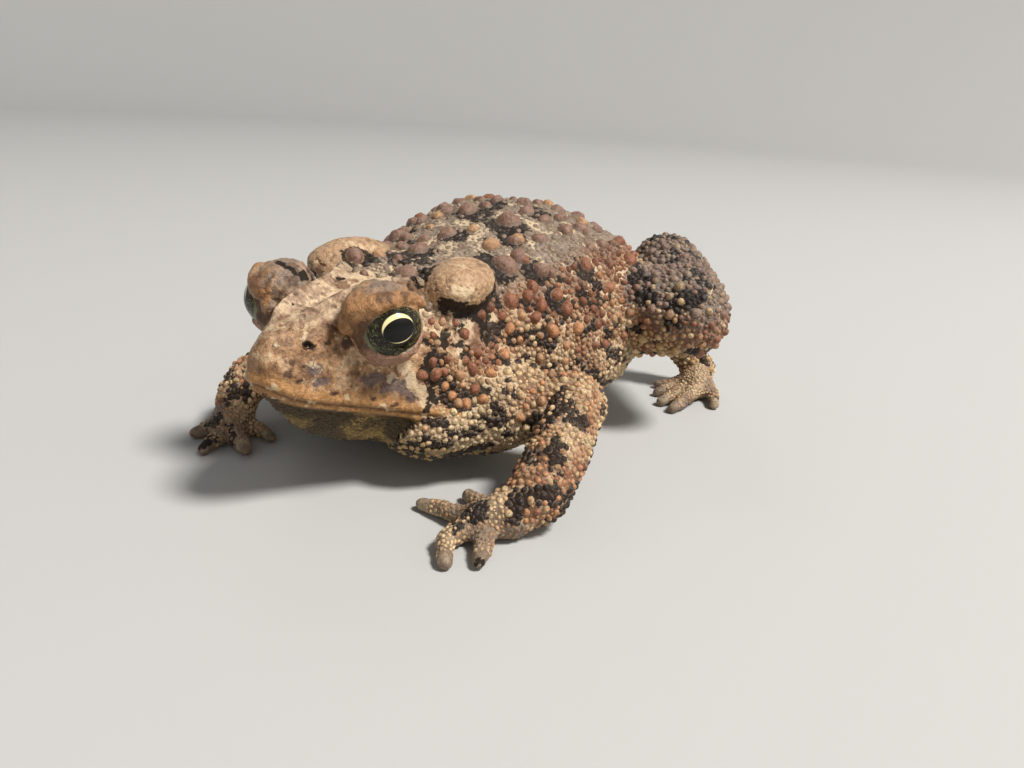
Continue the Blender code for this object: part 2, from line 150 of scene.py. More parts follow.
# Marks of the head.
MOUTH_Y = [-1.0, 0.2, 0.8, 1.7, 2.8, 4.7, 7.1, 10.9, 16.6, 19.9, 22.3, 25.0]
MOUTH_Z = [18.6, 18.5, 18.0, 17.3, 16.6, 15.8, 15.1, 14.1, 12.4, 11.4, 11.0, 11.0]
MOUTH_END = 21.6
NOSTRIL = (3.7, 5.2, 22.8)
TYMPANUM = (12.5, 22.2, 21.2)
CREST = [(1.5, 3.8), (2.2, 8.6), (2.45, 12.6), (3.2, 16.5), (4.4, 19.8), (6.0, 22.6), (7.2, 23.6)]
CALM = ((12.6, 27.0, 22.6), (3.0, 5.6, 3.6))
NOSTRIL_SHAPE, TYMPANUM_SHAPE = (1.3, 0.9, 0.62), (1.0, 1.0, 1.18)

# Relief of the skin: heights or depths, and widths.
MOUTH_GROOVE, LOWER_LIP_INSET, JAW_INSET, UPPER_LIP = 0.30, 0.26, 0.80, 0.16
NOSTRIL_DEPTH, NOSTRIL_RIM, DRUM_DEPTH, DRUM_RIM = 0.75, 0.10, 0.22, 0.14
CREST_HEIGHT, CREST_WIDTH, TROUGH_DEPTH, TROUGH_WIDTH = 1.20, 0.70, 0.70, 1.1
ROLL_SWELL, LID_GROOVE, PAD_PIT = 0.16, 0.42, 0.13

# Where zones of the skin end: along the body, and in degrees above its widest line.
FACE_END, FRONT_END, RUMP_START = 22.0, 38.0, 55.0
WIDEST_LINE, BACK_START, FLANK_TOP = 13.5, 44.0, 48.0
NO_MARK = -0.6


def srgb(red, green, blue):
    """Linear colour of an sRGB colour given in 0-255."""
    values = np.array((red, green, blue), float) / 255.0
    return np.where(values <= 0.04045, values / 12.92, ((values + 0.055) / 1.055) ** 2.4)


# Skin colours.
SNOUT_TAN = srgb(148, 112, 80)
FACE_PALE = srgb(196, 170, 138)
FACE_BROWN = srgb(112, 82, 58)
SPOT_BROWN = srgb(66, 42, 30)
CROWN_GREY = srgb(156, 130, 106)
LIP_ORANGE = srgb(166, 122, 76)
CREAM = srgb(208, 184, 150)
LID_ORANGE = srgb(148, 108, 72)
LID_TAN = srgb(150, 122, 96)
LID_GREY = srgb(124, 105, 90)
LOWER_LID = srgb(150, 114, 94)
LID_GREEN = srgb(128, 128, 104)
PAD_TAN = srgb(164, 132, 102)
PAD_CREAM = srgb(186, 154, 117)
PAD_DARK = srgb(104, 80, 62)
BACK_GREY = srgb(130, 114, 98)
BACK_CREAM = srgb(184, 164, 136)
BACK_BROWN = srgb(104, 84, 68)
FLANK_BROWN = srgb(112, 80, 58)
FLANK_PALE = srgb(174, 146, 118)
LEG_GREY = srgb(108, 98, 90)
BELLY_CREAM = srgb(196, 176, 136)
THROAT_DARK = srgb(66, 52, 32)
THROAT_YELLOW = srgb(150, 124, 72)
PAD_PINK = srgb(120, 102, 85)
BLOTCH_PURPLE = srgb(98, 82, 78)

# Wart colours.
RED_BROWN = srgb(130, 84, 62)
ORANGE = srgb(170, 120, 84)
TAN = srgb(164, 126, 92)
MAUVE = srgb(126, 97, 82)
YELLOW = srgb(184, 150, 102)
BEAD_CREAM = srgb(198, 170, 130)
DARK_BEAD = srgb(42, 36, 33)
GREY_BEAD = srgb(116, 106, 97)
TIP_BROWN = srgb(84, 50, 36)


# Small tools

def to_frame(points):
    """Millimetres from the snout to metres in the model's frame."""
    return (np.asarray(points, float) + (FRAME_X, FRAME_Y, -FLOOR_SINK)) * MM


def ramp(value, start, end):
    """0 before start, 1 after end, smooth between them."""
    t = np.clip((np.asarray(value, float) - start) / (end - start), 0.0, 1.0)
    return t * t * (3.0 - 2.0 * t)


def bump(value, middle, width):
    """1 at the middle, falling to 0 on both sides."""
    return np.exp(-((value - middle) / width) ** 2)


def mix(a, b, share):
    """Colours a and b mixed by a share for each point."""
    share = np.asarray(share, float)[..., None]
    return a * (1.0 - share) + b * share


def mix_plain(a, b, share):
    """Mix of two plain numbers."""
    return a * (1.0 - share) + b * share


def paint(colour, chosen, value):
    """The colours, with another value at the chosen points."""
    return np.where(chosen[:, None], value, colour)


def any_of(part, numbers):
    """Whether each point is on one of these parts."""
    return np.isin(part, numbers)


def on_side(points, side):
    """A place or places of the left side, on the side asked for (1 left, -1 right)."""
    return np.array(points) * (side, 1, 1)


def between_corners(grid, low, high, share):
    """Value inside a grid's cell from its eight corners; share runs from 0 at low to 1 at high."""
    total = 0.0
    for corner in range(8):
        pick = [(corner >> axis) & 1 for axis in range(3)]
        spot = tuple((high if pick[a] else low)[..., a] for a in range(3))
        weight = 1.0
        for a in range(3):
            weight = weight * (share[..., a] if pick[a] else 1.0 - share[..., a])
        total = total + grid[spot] * weight
    return total


def unit(vectors):
    """The vectors at length 1."""
    return vectors / np.maximum(np.linalg.norm(vectors, axis=-1, keepdims=True), 1e-9)


def smooth_min(a, b, blend):
    """The lesser of two distances, rounded where they meet."""
    if blend <= 0.0:
        return np.minimum(a, b)
    near = np.maximum(blend - np.abs(a - b), 0.0) / blend
    return np.minimum(a, b) - near * near * blend * 0.25


LATTICE_SIZE = 32
LATTICE = np.random.default_rng(SEED).random((LATTICE_SIZE,) * 3).astype(np.float32)


def noise(points, size, seed=0.0):
    """Smooth noise from -1 to 1 with lumps about size across."""
    spot = np.asarray(points, float) / size + seed * np.array((7.31, 3.17, 5.53))
    low = np.floor(spot).astype(int)
    share = spot - low
    share = share * share * (3.0 - 2.0 * share)
    low %= LATTICE_SIZE
    return 2.0 * between_corners(LATTICE, low, (low + 1) % LATTICE_SIZE, share) - 1.0


def fractal(points, size, octaves=3, seed=0.0):
    """Sum of ever finer noises."""
    total, reach = 0.0, 0.0
    for octave in range(octaves):
        weight = 0.55 ** octave
        total = total + weight * noise(points, size * 0.5 ** octave, seed + 1.7 * octave)
        reach += weight
    return total / reach * 1.4


# The distance field

AXES = [GRID_LOW[i] + STEP * np.arange(GRID_COUNT[i]) for i in range(3)]


def window(low, high):
    """The part of the grid between two corners, with its coordinates."""
    first = np.maximum(np.floor((np.array(low) - GRID_LOW) / STEP).astype(int), 0)
    last = np.minimum(np.ceil((np.array(high) - GRID_LOW) / STEP).astype(int) + 1, GRID_COUNT)
    parts = tuple(slice(a, b) for a, b in zip(first, last))
    x, y, z = (AXES[i][parts[i]].astype(np.float32) for i in range(3))
    return parts, x[:, None, None], y[None, :, None], z[None, None, :]


def smooth_profile(at, known, values):
    """Interpolates without overshoot, by a monotone cubic."""
    known, values = np.array(known, float), np.array(values, float)
    span = np.diff(known)
    slope = np.diff(values) / span
    tangent = np.zeros(len(known))
    same = slope[:-1] * slope[1:] > 0
    tangent[1:-1][same] = 2.0 / (1.0 / slope[:-1][same] + 1.0 / slope[1:][same])
    tangent[0], tangent[-1] = slope[0], slope[-1]
    at = np.clip(at, known[0], known[-1])
    i = np.clip(np.searchsorted(known, at, side="right") - 1, 0, len(span) - 1)
    t = (at - known[i]) / span[i]
    return (
        values[i] * (1 + 2 * t) * (1 - t) ** 2
        + tangent[i] * span[i] * t * (1 - t) ** 2
        + values[i + 1] * t * t * (3 - 2 * t)
        + tangent[i + 1] * span[i] * t * t * (t - 1)
    )


def loft(stations, squareness):
    """Distance to a loft along Y whose sections are superellipses."""
    y_known, half, top, bottom, middle = np.array(stations).T

    def distance(x, y, z):
        at = y.ravel()
        widths = [
            np.sqrt(smooth_profile(at, y_known, v * v)).astype(np.float32)[None, :, None]
            for v in (half, top - middle, middle - bottom)
        ]
        mid = smooth_profile(at, y_known, middle).astype(np.float32)[None, :, None]
        rise = z - mid
        tall = np.where(rise > 0, widths[1], widths[2])
        across = (np.abs(x) / widths[0]) ** squareness
        spread = (across + (np.abs(rise) / tall) ** squareness) ** (1.0 / squareness)
        radial = np.sqrt(x * x + rise * rise)
        form = radial - radial / np.maximum(spread, 1e-4)
        form = np.maximum(form, np.maximum(y_known[0] - y, y - y_known[-1]))
        steep = np.sqrt(sum(g * g for g in np.gradient(form, STEP)))
        return form / np.clip(steep, 0.8, 6.0)

    reach = np.array((half.max(), 0, 0))
    return distance, np.array((0, y_known[0], bottom.min())) - reach, \
        np.array((0, y_known[-1], top.max())) + reach


def ellipsoid(form, side):
    """Distance to a swelling, and the corners of its box."""
    centre, radii, turn = form
    centre = on_side(centre, side)
    cos, sin = math.cos(math.radians(turn * side)), math.sin(math.radians(turn * side))

    def distance(x, y, z):
        dx, dy, dz = x - centre[0], y - centre[1], z - centre[2]
        u, v = dx * cos + dy * sin, dy * cos - dx * sin
        inner, outer = (
            np.sqrt((u / a) ** 2 + (v / b) ** 2 + (dz / c) ** 2)
            for a, b, c in (radii, [r ** 2 for r in radii])
        )
        return (inner * (inner - 1.0) / np.maximum(outer, 1e-4)).astype(np.float32)

    return distance, centre - max(radii), centre + max(radii)


def limb(chain, side=1):
    """Distance to a chain of tapering rods, and the corners of its box."""
    points = on_side([c for c, _ in chain], side)
    radii = np.array([r for _, r in chain])

    def distance(x, y, z):
        best = None
        for a, b, ra, rb in zip(points[:-1], points[1:], radii[:-1], radii[1:]):
            along = b - a
            dx, dy, dz = x - a[0], y - a[1], z - a[2]
            t = (dx * along[0] + dy * along[1] + dz * along[2]) / (along @ along)
            t = np.clip(t, 0.0, 1.0)
            gap = np.sqrt((dx - t * along[0]) ** 2 + (dy - t * along[1]) ** 2
                          + (dz - t * along[2]) ** 2) - (ra + t * (rb - ra))
            best = gap if best is None else np.minimum(best, gap)
        return best.astype(np.float32)

    return distance, (points - radii[:, None]).min(0), (points + radii[:, None]).max(0)


def join(field, owner, form, blend, part):
    """Joins a form to the field with a fillet, and marks the grid points that it owns."""
    distance, low, high = form
    reach = blend + 2.0
    parts, x, y, z = window(low - reach, high + reach)
    gap = distance(x, y, z)
    before = field[parts]
    owner[parts] = np.where(gap < before, part, owner[parts])
    field[parts] = smooth_min(before, gap, blend)


def eye_axes(side):
    """Centre of the eye, and the axes (across, up, out) of its gaze."""
    out = unit(on_side(GAZE, side))
    across = unit(np.cross(np.array((0.0, 0.0, 1.0)), out))
    return on_side(EYE_CENTRE, side), across, np.cross(out, across), out


def fit_lids(field, owner, side):
    """Lays a lid over the eyeball, opens it round the gaze and hangs the upper lid's roll."""
    centre, across, up, out = eye_axes(side)
    parts, x, y, z = window(centre - 7.0, centre + 7.0)
    ball = on_side(LID_BALL[0], side)
    mound = np.sqrt((x - ball[0]) ** 2 + (y - ball[1]) ** 2 + (z - ball[2]) ** 2) - LID_BALL[1]
    lids = smooth_min(field[parts], mound, BALL_FILLET)
    dx, dy, dz = x - centre[0], y - centre[1], z - centre[2]
    radius = np.sqrt(dx * dx + dy * dy + dz * dz)
    u, v, w = (dx * a[0] + dy * a[1] + dz * a[2] for a in (across, up, out))
    tilt = math.radians(OPENING_TILT) * side
    v = v + OPENING_DROP
    u, v = u * math.cos(tilt) + v * math.sin(tilt), v * math.cos(tilt) - u * math.sin(tilt)
    flare = 1.0 + 0.30 * np.maximum(radius - EYE_RADIUS, 0.0)
    opening = (np.sqrt((u / OPENING[0]) ** 2 + (v / OPENING[1]) ** 2) / flare - 1.0) * OPENING[1]
    hole = np.maximum(np.maximum(opening, SOCKET_FLOOR - radius), -w)
    field[parts] = -smooth_min(-lids, hole, RIM_FILLET)
    join(field, owner, limb(LID_ROLL, side), ROLL_FILLET, ROLL)


def cut(axis, start, stop):
    """Index of a stretch of the grid along one axis."""
    return tuple(slice(start, stop) if a == axis else slice(None) for a in range(3))


def soften(field, times):
    """Rounds the field off by averages along each axis."""
    for _ in range(times):
        for axis in range(3):
            inner, back, front = cut(axis, 1, -1), cut(axis, None, -2), cut(axis, 2, None)
            field[inner] = 0.5 * field[inner] + 0.25 * (field[back] + field[front])


SWELLINGS = (
    (SHOULDER, BODY_FILLET, TRUNK), (CHEST, BODY_FILLET, TRUNK), (HAUNCH, BODY_FILLET, TRUNK),
    (PAROTOID, PAD_FILLET, PAROTOID_PAD), (EYELID, LID_FILLET, LID),
)
# Limbs in the order in which they join: left chain, right chain or None for its mirror image.
LIMBS = [
    (UPPER_ARM_L, UPPER_ARM_R, LIMB_FILLET, ARM), (FOREARM_L, FOREARM_R, ELBOW_FILLET, FOREARM),
    (PALM_L, PALM_R, PALM_FILLET, HAND),
    *((left, right, DIGIT_FILLET, HAND) for left, right in zip(DIGITS_L, DIGITS_R)),
    (THIGH_L, THIGH_R, LIMB_FILLET, THIGH_PART), (SHANK_L, SHANK_R, ELBOW_FILLET, SHANK_PART),
    (TARSUS, None, PALM_FILLET, SHANK_PART), (SOLE, None, PALM_FILLET, FOOT),
    *((toe, None, DIGIT_FILLET, FOOT) for toe in TOES),
]


def build_field():
    """The distance field of the whole skin, and the part that owns each point of its grid."""
    field = np.full(GRID_COUNT, FAR, np.float32)
    owner = np.full(GRID_COUNT, TRUNK, np.int8)
    join(field, owner, loft(TRUNK_STATIONS, TRUNK_SQUARENESS), 0.0, TRUNK)
    join(field, owner, loft(HEAD_STATIONS, HEAD_SQUARENESS), BODY_FILLET, HEAD)
    for side in (1, -1):
        for form, fillet, part in SWELLINGS:
            join(field, owner, ellipsoid(form, side), fillet, part)
        for left, right, fillet, part in LIMBS:
            own = limb(right) if right and side == -1 else limb(left, side)
            join(field, owner, own, fillet, part)
    soften(field, 2)
    for side in (1, -1):
        fit_lids(field, owner, side)
    field += SKIN_DEPTH
    field[:] = np.maximum(field, (FLOOR_SINK - AXES[2]).astype(np.float32)[None, None, :])
    return field, owner


FIELD, OWNER = build_field()
SLOPES = [g.astype(np.float32) for g in np.gradient(FIELD, STEP)]


def read(grid, points):
    """Value of a grid at any points, by linear interpolation."""
    spot = (points - GRID_LOW) / STEP
    low = np.clip(np.floor(spot).astype(int), 0, GRID_COUNT - 2)
    return between_corners(grid, low, low + 1, spot - low)


def owner_at(points):
    """Number of the part that each point is on."""
    spot = np.clip(np.rint((points - GRID_LOW) / STEP).astype(int), 0, GRID_COUNT - 1)
    return OWNER[spot[:, 0], spot[:, 1], spot[:, 2]]


def slope_at(points):
    """Slope of the field, which points out of the skin."""
    return np.stack([read(g, points) for g in SLOPES], axis=1)


def settle(points, times=3):
    """Moves points onto the field's surface."""
    for _ in range(times):
        slope = slope_at(points)
        size = np.maximum((slope * slope).sum(1), 0.15)
        move = (read(FIELD, points) / size)[:, None] * slope
        points = points - np.clip(move, -0.6, 0.6)
    return points


# Relief of the skin

def mouth_gap(points):
    """Height above the mouth's line."""
    return points[:, 2] - np.interp(points[:, 1], MOUTH_Y, MOUTH_Z)


def folded(points):
    """The points with those of the right side moved to the left."""
    return np.column_stack((np.abs(points[:, 0]), points[:, 1:]))


def mirrored_gap(points, centre, stretch):
    """Distance to a mark or to its mirror image, in its own radii."""
    return np.linalg.norm((folded(points) - centre) / stretch, axis=1)


def path_gap(points, path):
    """Distance in plan to a path or to its mirror image."""
    path = np.array(path, float)
    spot = folded(points)[:, :2]
    best = np.full(len(points), np.inf)
    for a, b in zip(path[:-1], path[1:]):
        along = b - a
        t = np.clip((spot - a) @ along / (along @ along), 0, 1)
        best = np.minimum(best, np.linalg.norm(spot - a - t[:, None] * along, axis=1))
    return best


def lid_place(points):
    """Place about the nearer eye: how far out from the lids' opening (1 at its edge), its two axes
    and the distance from the eye's centre."""
    centre, across, up, gaze = eye_axes(1)
    from_eye = folded(points) - centre
    radius = np.linalg.norm(from_eye, axis=1)
    scale = EYE_RADIUS / np.maximum(radius, 1.0)
    u, v = (from_eye @ across) * scale, (from_eye @ up) * scale + OPENING_DROP
    tilt = math.radians(OPENING_TILT)
    u, v = u * math.cos(tilt) + v * math.sin(tilt), v * math.cos(tilt) - u * math.sin(tilt)
    out = np.sqrt((u / OPENING[0]) ** 2 + (v / OPENING[1]) ** 2)
    return np.where(from_eye @ gaze > 0.0, out, 9.0), u, v, radius


def relief(points, part):
    """Height of the finer forms over the field's surface."""
    on_head = any_of(part, (HEAD, LID, ROLL))
    mouth = mouth_gap(points)
    reach = (1.0 - ramp(points[:, 1], MOUTH_END - 0.8, MOUTH_END + 0.8)) * on_head
    height = -MOUTH_GROOVE * bump(mouth, 0.0, 0.20) * reach
    height += -LOWER_LIP_INSET * ramp(-mouth, 0.0, 0.30) * (1.0 - ramp(-mouth, 3.0, 6.0)) * reach
    height += -JAW_INSET * ramp(-mouth, 0.7, 1.8) * (1.0 - ramp(-mouth, 3.5, 8.0)) * reach
    height += UPPER_LIP * bump(mouth, 0.7, 0.55) * reach

    nostril = mirrored_gap(points, NOSTRIL, NOSTRIL_SHAPE)
    height += -NOSTRIL_DEPTH * np.exp(-(nostril / 0.5) ** 4)
    height += NOSTRIL_RIM * bump(nostril, 0.95, 0.3)
    drum = mirrored_gap(points, TYMPANUM, TYMPANUM_SHAPE)
    height += (-DRUM_DEPTH * (1.0 - ramp(drum, 1.2, 1.75)) + DRUM_RIM * bump(drum, 1.85, 0.3)) \
        * (points[:, 2] < 25.0)

    on_top = (part == HEAD) & (points[:, 2] > 22.5)
    crest = bump(path_gap(points, CREST), 0.0, CREST_WIDTH) * ramp(points[:, 1], 3.0, 7.5)
    trough = bump(np.abs(points[:, 0]), 0.0, TROUGH_WIDTH) * ramp(points[:, 1], 5, 10)
    height += (CREST_HEIGHT * crest - TROUGH_DEPTH * trough) * on_top
    height += 0.13 * fractal(points, 1.1, 2, 8.0) * on_head

    height += (part == LID) * (0.30 * fractal(points, 1.7, 2, 3.0) + 0.10 * noise(points, 0.6, 9.0))
    height += (part == ROLL) * (0.24 * fractal(points, 1.8, 2, 3.0)
                                + 0.04 * noise(points, 0.5, 9.0))
    out = lid_place(points)[0]
    height += any_of(part, EYELIDS) * (ROLL_SWELL * bump(out, 1.50, 0.30)
                                         - LID_GROOVE * bump(out, 2.02, 0.15))

    rings = noise(points * (1.0, 0.45, 1.0), 0.62, 5.0)
    pits = ramp(noise(points, 0.62, 6.0), 0.22, 0.55)
    height += (part == PAROTOID_PAD) * (
        0.06 * rings + 0.14 * fractal(points, 3.0, 2, 4.0) - PAD_PIT * pits)

    rough = 0.05 + 0.15 * (~on_head & (part != PAROTOID_PAD))
    height += rough * fractal(points, 2.6, 2, 1.0)
    on_back = (part == TRUNK) * ramp(dorsal_angle(points), 34.0, 50.0)
    height += (0.05 + 0.13 * on_back) * fractal(points, 0.9, 2, 2.0) * ~any_of(part, TIPS)
    return height


def on_skin(points):
    """Points settled on the skin with its relief, and the part and normal of each."""
    points = settle(points)
    normal = unit(slope_at(points))
    part = owner_at(points)
    above = points + normal * relief(points, part)[:, None]
    above[:, 2] = np.maximum(above[:, 2], FLOOR_SINK)
    return above, normal, part


# The skin's mesh

CORNERS = [(i, j, k) for i in (0, 1) for j in (0, 1) for k in (0, 1)]


def surface_net(field):
    """Points and four-sided faces of the field's zero surface, one point for each cell on it."""
    values = [
        field[tuple(slice(c, None if c else -1) for c in corner)] for corner in CORNERS
    ]
    below = sum((v < 0).astype(np.int8) for v in values)
    cell = (below > 0) & (below < 8)
    number = np.full(cell.shape, -1, np.int64)
    number[cell] = np.arange(cell.sum())
    place = np.argwhere(cell).astype(float)
    at = [v[cell] for v in values]
    total, count = np.zeros_like(place), np.zeros(len(place))
    for a in range(8):
        for b in range(a + 1, 8):
            step = np.array(CORNERS[b]) - CORNERS[a]
            if np.abs(step).sum() != 1:
                continue
            crossed = (at[a] < 0) != (at[b] < 0)
            t = np.where(crossed, at[a] / np.where(crossed, at[a] - at[b], 1.0), 0.0)
            total += (np.array(CORNERS[a]) + t[:, None] * step) * crossed[:, None]
            count += crossed
    points = (place + total / count[:, None]) * STEP + GRID_LOW
    faces = []
    for axis in range(3):
        one, two = [a for a in range(3) if a != axis]
        inner = field[cut(one, 1, -1)][cut(two, 1, -1)]
        start, end = inner[cut(axis, None, -1)] < 0, inner[cut(axis, 1, None)] < 0
        for inside, flip in ((start & ~end, axis == 1), (end & ~start, axis != 1)):
            spot = np.argwhere(inside)
            spot[:, one] += 1
            spot[:, two] += 1
            ring = []
            for da, db in ((1, 1), (0, 1), (0, 0), (1, 0)):
                other = spot.copy()
                other[:, one] -= da
                other[:, two] -= db
                ring.append(number[other[:, 0], other[:, 1], other[:, 2]])
            quads = np.stack(ring, axis=1)
            faces.append(quads[:, ::-1] if not flip else quads)
    return points, np.concatenate(faces)


def even_out(points, faces, times):
    """Slides the points to even spacing and back onto the surface."""
    ends = np.concatenate([faces[:, [i, (i + 1) % 4]] for i in range(4)])
    count = np.bincount(ends[:, 0], minlength=len(points)).astype(float)
    for _ in range(times):
        mean = np.stack(
            [np.bincount(ends[:, 0], points[ends[:, 1], a], len(points)) for a in range(3)], axis=1
        ) / count[:, None]
        points = settle(0.4 * points + 0.6 * mean, 1)
    return points


def mesh_from(points, faces):
    """A mesh of four-sided or three-sided faces, smooth, in the model's frame."""
    mesh = bpy.data.meshes.new("mesh")
    sides = faces.shape[1]
    mesh.vertices.add(len(points))
    mesh.vertices.foreach_set("co", to_frame(points).astype(np.float32).ravel())
    mesh.loops.add(faces.size)
    mesh.loops.foreach_set("vertex_index", faces.astype(np.int32).ravel())
    mesh.polygons.add(len(faces))
    mesh.polygons.foreach_set("loop_start", np.arange(0, faces.size, sides, dtype=np.int32))
    mesh.update(calc_edges=True)
    mesh.shade_smooth()
    return mesh


def ring_faces(rows, columns):
    """Triangles between rows of points that run round an axis."""
    here = np.arange(columns)
    after = (here + 1) % columns
    faces = []
    for a in range(0, (rows - 1) * columns, columns):
        b = a + columns
        faces += [np.stack((a + here, a + after, b + after), 1),
                  np.stack((a + here, b + after, b + here), 1)]
    return faces


def fan_faces(row, columns, tip):
    """Triangles from a row of points to a tip."""
    here = row * columns + np.arange(columns)
    return np.stack((here, np.roll(here, -1), np.full(columns, tip)), 1)


def points_of(mesh):
    """The mesh's points in millimetres from the snout."""
    flat = np.empty(len(mesh.vertices) * 3, np.float32)
    mesh.vertices.foreach_get("co", flat)
    return flat.reshape(-1, 3).astype(float) / MM - (FRAME_X, FRAME_Y, -FLOOR_SINK)


def refine_top(mesh):
    """Divides the faces of the head, the back and the flanks once more."""
    bm = bmesh.new()
    bm.from_mesh(mesh)
    low_edge, side_edge = 10.0 * MM, 22.0 * MM
    edges = [
        e for e in bm.edges
        if all(v.co.z > low_edge and abs(v.co.x - FRAME_X * MM) < side_edge for v in e.verts)
    ]
    bmesh.ops.subdivide_edges(bm, edges=edges, cuts=1, use_grid_fill=True)
    bm.to_mesh(mesh)
    bm.free()


def set_attribute(mesh, name, values, kind="FLOAT"):
    """Stores a value at each point of the mesh."""
    attribute = mesh.attributes.new(name, kind, "POINT")
    key = {"FLOAT": "value", "FLOAT_COLOR": "color", "FLOAT_VECTOR": "vector"}[kind]
    if kind == "FLOAT_COLOR":
        values = np.concatenate((values, np.ones((len(values), 1))), axis=1)
    attribute.data.foreach_set(key, np.ascontiguousarray(values, np.float32).ravel())


# Named marks

# Large warts that the photograph shows: place, radius, colour, and the way in plan from the wart
# to its black patch (None for no patch), named as the photograph shows it. The places of all the
# marks were picked in the photograph and carried onto the forms along the camera's rays.
BELOW, RIGHT, LEFT, AROUND = (0.49, -0.87), (0.87, 0.49), (-0.87, -0.49), (0.0, 0.0)
LARGE_WARTS = [
    ((-6.5, 25.1, 28.8), 1.30, MAUVE, (0.9, -0.35)), ((-1.3, 32.9, 29.7), 1.50, MAUVE, BELOW),
    ((3.3, 24.2, 28.2), 1.40, MAUVE, (0.95, -0.3)), ((-0.9, 27.7, 28.5), 0.75, MAUVE, AROUND),
    ((-0.6, 39.1, 31.4), 1.30, MAUVE, (0.95, -0.3)),
    ((-3.0, 48.1, 33.5), 1.60, MAUVE, (0.95, -0.3)),
    ((10.5, 38.0, 28.7), 1.80, MAUVE, (-0.3, -0.95)),
    ((14.2, 42.3, 27.9), 1.15, MAUVE, (-0.3, -0.95)), ((5.2, 47.2, 33.1), 1.75, MAUVE, BELOW),
    ((6.8, 39.7, 30.8), 1.30, TAN, None), ((8.9, 43.6, 31.3), 1.10, TAN, LEFT),
    ((11.1, 46.6, 31.4), 1.05, MAUVE, None), ((-10.3, 40.8, 29.8), 1.35, MAUVE, BELOW),
    ((-9.1, 44.3, 31.5), 1.15, MAUVE, None), ((-7.1, 45.7, 32.4), 1.05, TAN, None),
    ((-2.3, 52.2, 34.2), 1.10, MAUVE, RIGHT), ((-5.0, 40.8, 31.5), 0.75, TAN, None),
    ((11.7, 41.1, 29.1), 0.85, RED_BROWN, None), ((14.5, 39.3, 25.9), 0.95, RED_BROWN, None),
    ((13.4, 35.0, 24.3), 1.20, RED_BROWN, None), ((14.6, 37.8, 24.8), 0.90, RED_BROWN, None),
    ((16.2, 39.2, 23.5), 1.00, RED_BROWN, None), ((15.3, 43.3, 27.3), 0.85, MAUVE, None),
    ((17.1, 42.3, 24.6), 1.00, RED_BROWN, BELOW), ((14.9, 35.7, 22.4), 0.80, TAN, None),
    ((16.2, 37.7, 21.9), 0.85, RED_BROWN, None), ((18.1, 39.9, 19.8), 1.00, ORANGE, BELOW),
    ((18.5, 43.0, 22.6), 1.05, RED_BROWN, None), ((20.1, 44.0, 19.7), 0.95, ORANGE, None),
    ((2.1, 41.8, 32.1), 0.85, TAN, None), ((5.0, 53.0, 34.1), 1.25, MAUVE, RIGHT),
    ((12.3, 52.7, 32.1), 1.20, MAUVE, None), ((-2.6, 56.2, 34.4), 1.10, MAUVE, BELOW),
    ((9.9, 55.4, 33.4), 1.15, MAUVE, None), ((17.6, 50.0, 28.0), 1.10, RED_BROWN, BELOW),
    ((11.3, 17.4, 17.5), 0.72, RED_BROWN, None), ((12.3, 19.1, 17.4), 0.80, RED_BROWN, None),
    ((12.8, 20.2, 17.6), 0.55, RED_BROWN, None), ((11.9, 18.9, 19.0), 0.60, RED_BROWN, None),
    ((13.0, 20.2, 15.6), 0.60, ORANGE, None), ((13.4, 21.1, 14.2), 0.60, ORANGE, None),
    ((12.7, 24.6, 21.7), 0.75, RED_BROWN, None), ((12.1, 23.6, 23.3), 0.55, RED_BROWN, None),
    ((13.8, 26.0, 19.0), 0.75, RED_BROWN, None), ((14.0, 24.7, 17.1), 0.80, RED_BROWN, None),
    ((13.7, 23.7, 18.4), 0.60, RED_BROWN, None), ((15.5, 26.9, 15.9), 0.75, ORANGE, None),
    ((14.8, 31.1, 17.3), 0.95, ORANGE, None), ((14.6, 33.4, 20.9), 0.80, ORANGE, None),
    ((16.4, 24.1, 13.5), 0.70, ORANGE, None), ((14.4, 23.0, 12.6), 0.65, ORANGE, None),
    ((13.7, 21.9, 12.9), 0.60, TAN, None), ((15.0, 24.1, 14.6), 0.70, RED_BROWN, None),
    ((10.6, 20.3, 24.0), 0.45, RED_BROWN, None), ((11.1, 19.8, 22.3), 0.50, RED_BROWN, None),
]

# Black patches without a large wart: centre and radii, on the left.
BLACK_PATCHES = [
    ((11.7, 23.0, 25.9), (1.6, 2.2, 1.3)), ((12.0, 26.1, 24.7), (2.0, 2.6, 1.5)),
    ((12.8, 29.2, 24.3), (2.0, 2.8, 2.1)), ((13.0, 32.3, 25.3), (1.8, 1.9, 2.3)),
    ((13.2, 28.6, 21.1), (1.4, 1.5, 2.4)), ((13.8, 29.6, 19.4), (0.9, 1.0, 1.3)),
    ((12.2, 19.2, 18.2), (1.6, 2.4, 2.4)), ((13.2, 20.6, 15.4), (1.3, 1.3, 2.2)),
    ((15.2, 33.9, 19.4), (1.4, 1.9, 1.3)), ((16.9, 37.1, 18.5), (1.4, 2.4, 0.9)),
    ((19.3, 46.2, 24.2), (1.4, 1.4, 2.4)), ((-5.6, 26.6, 28.2), (1.6, 1.4, 1.2)),
    ((-2.6, 29.2, 28.8), (1.9, 1.5, 1.2)), ((0.4, 28.0, 28.6), (1.3, 1.1, 1.2)),
    ((4.4, 25.4, 27.9), (1.3, 1.6, 1.2)), ((0.2, 22.2, 28.4), (0.8, 0.6, 0.8)),
    ((1.4, 7.9, 26.2), (0.24, 0.24, 0.4)), ((2.2, 10.2, 26.7), (0.22, 0.22, 0.4)),
    ((4.2, 8.7, 24.6), (0.22, 0.22, 0.3)), ((-2.3, 17.4, 27.8), (0.45, 0.7, 0.6)),
    ((23.4, 11.9, 4.3), (2.1, 1.9, 1.9)),
]
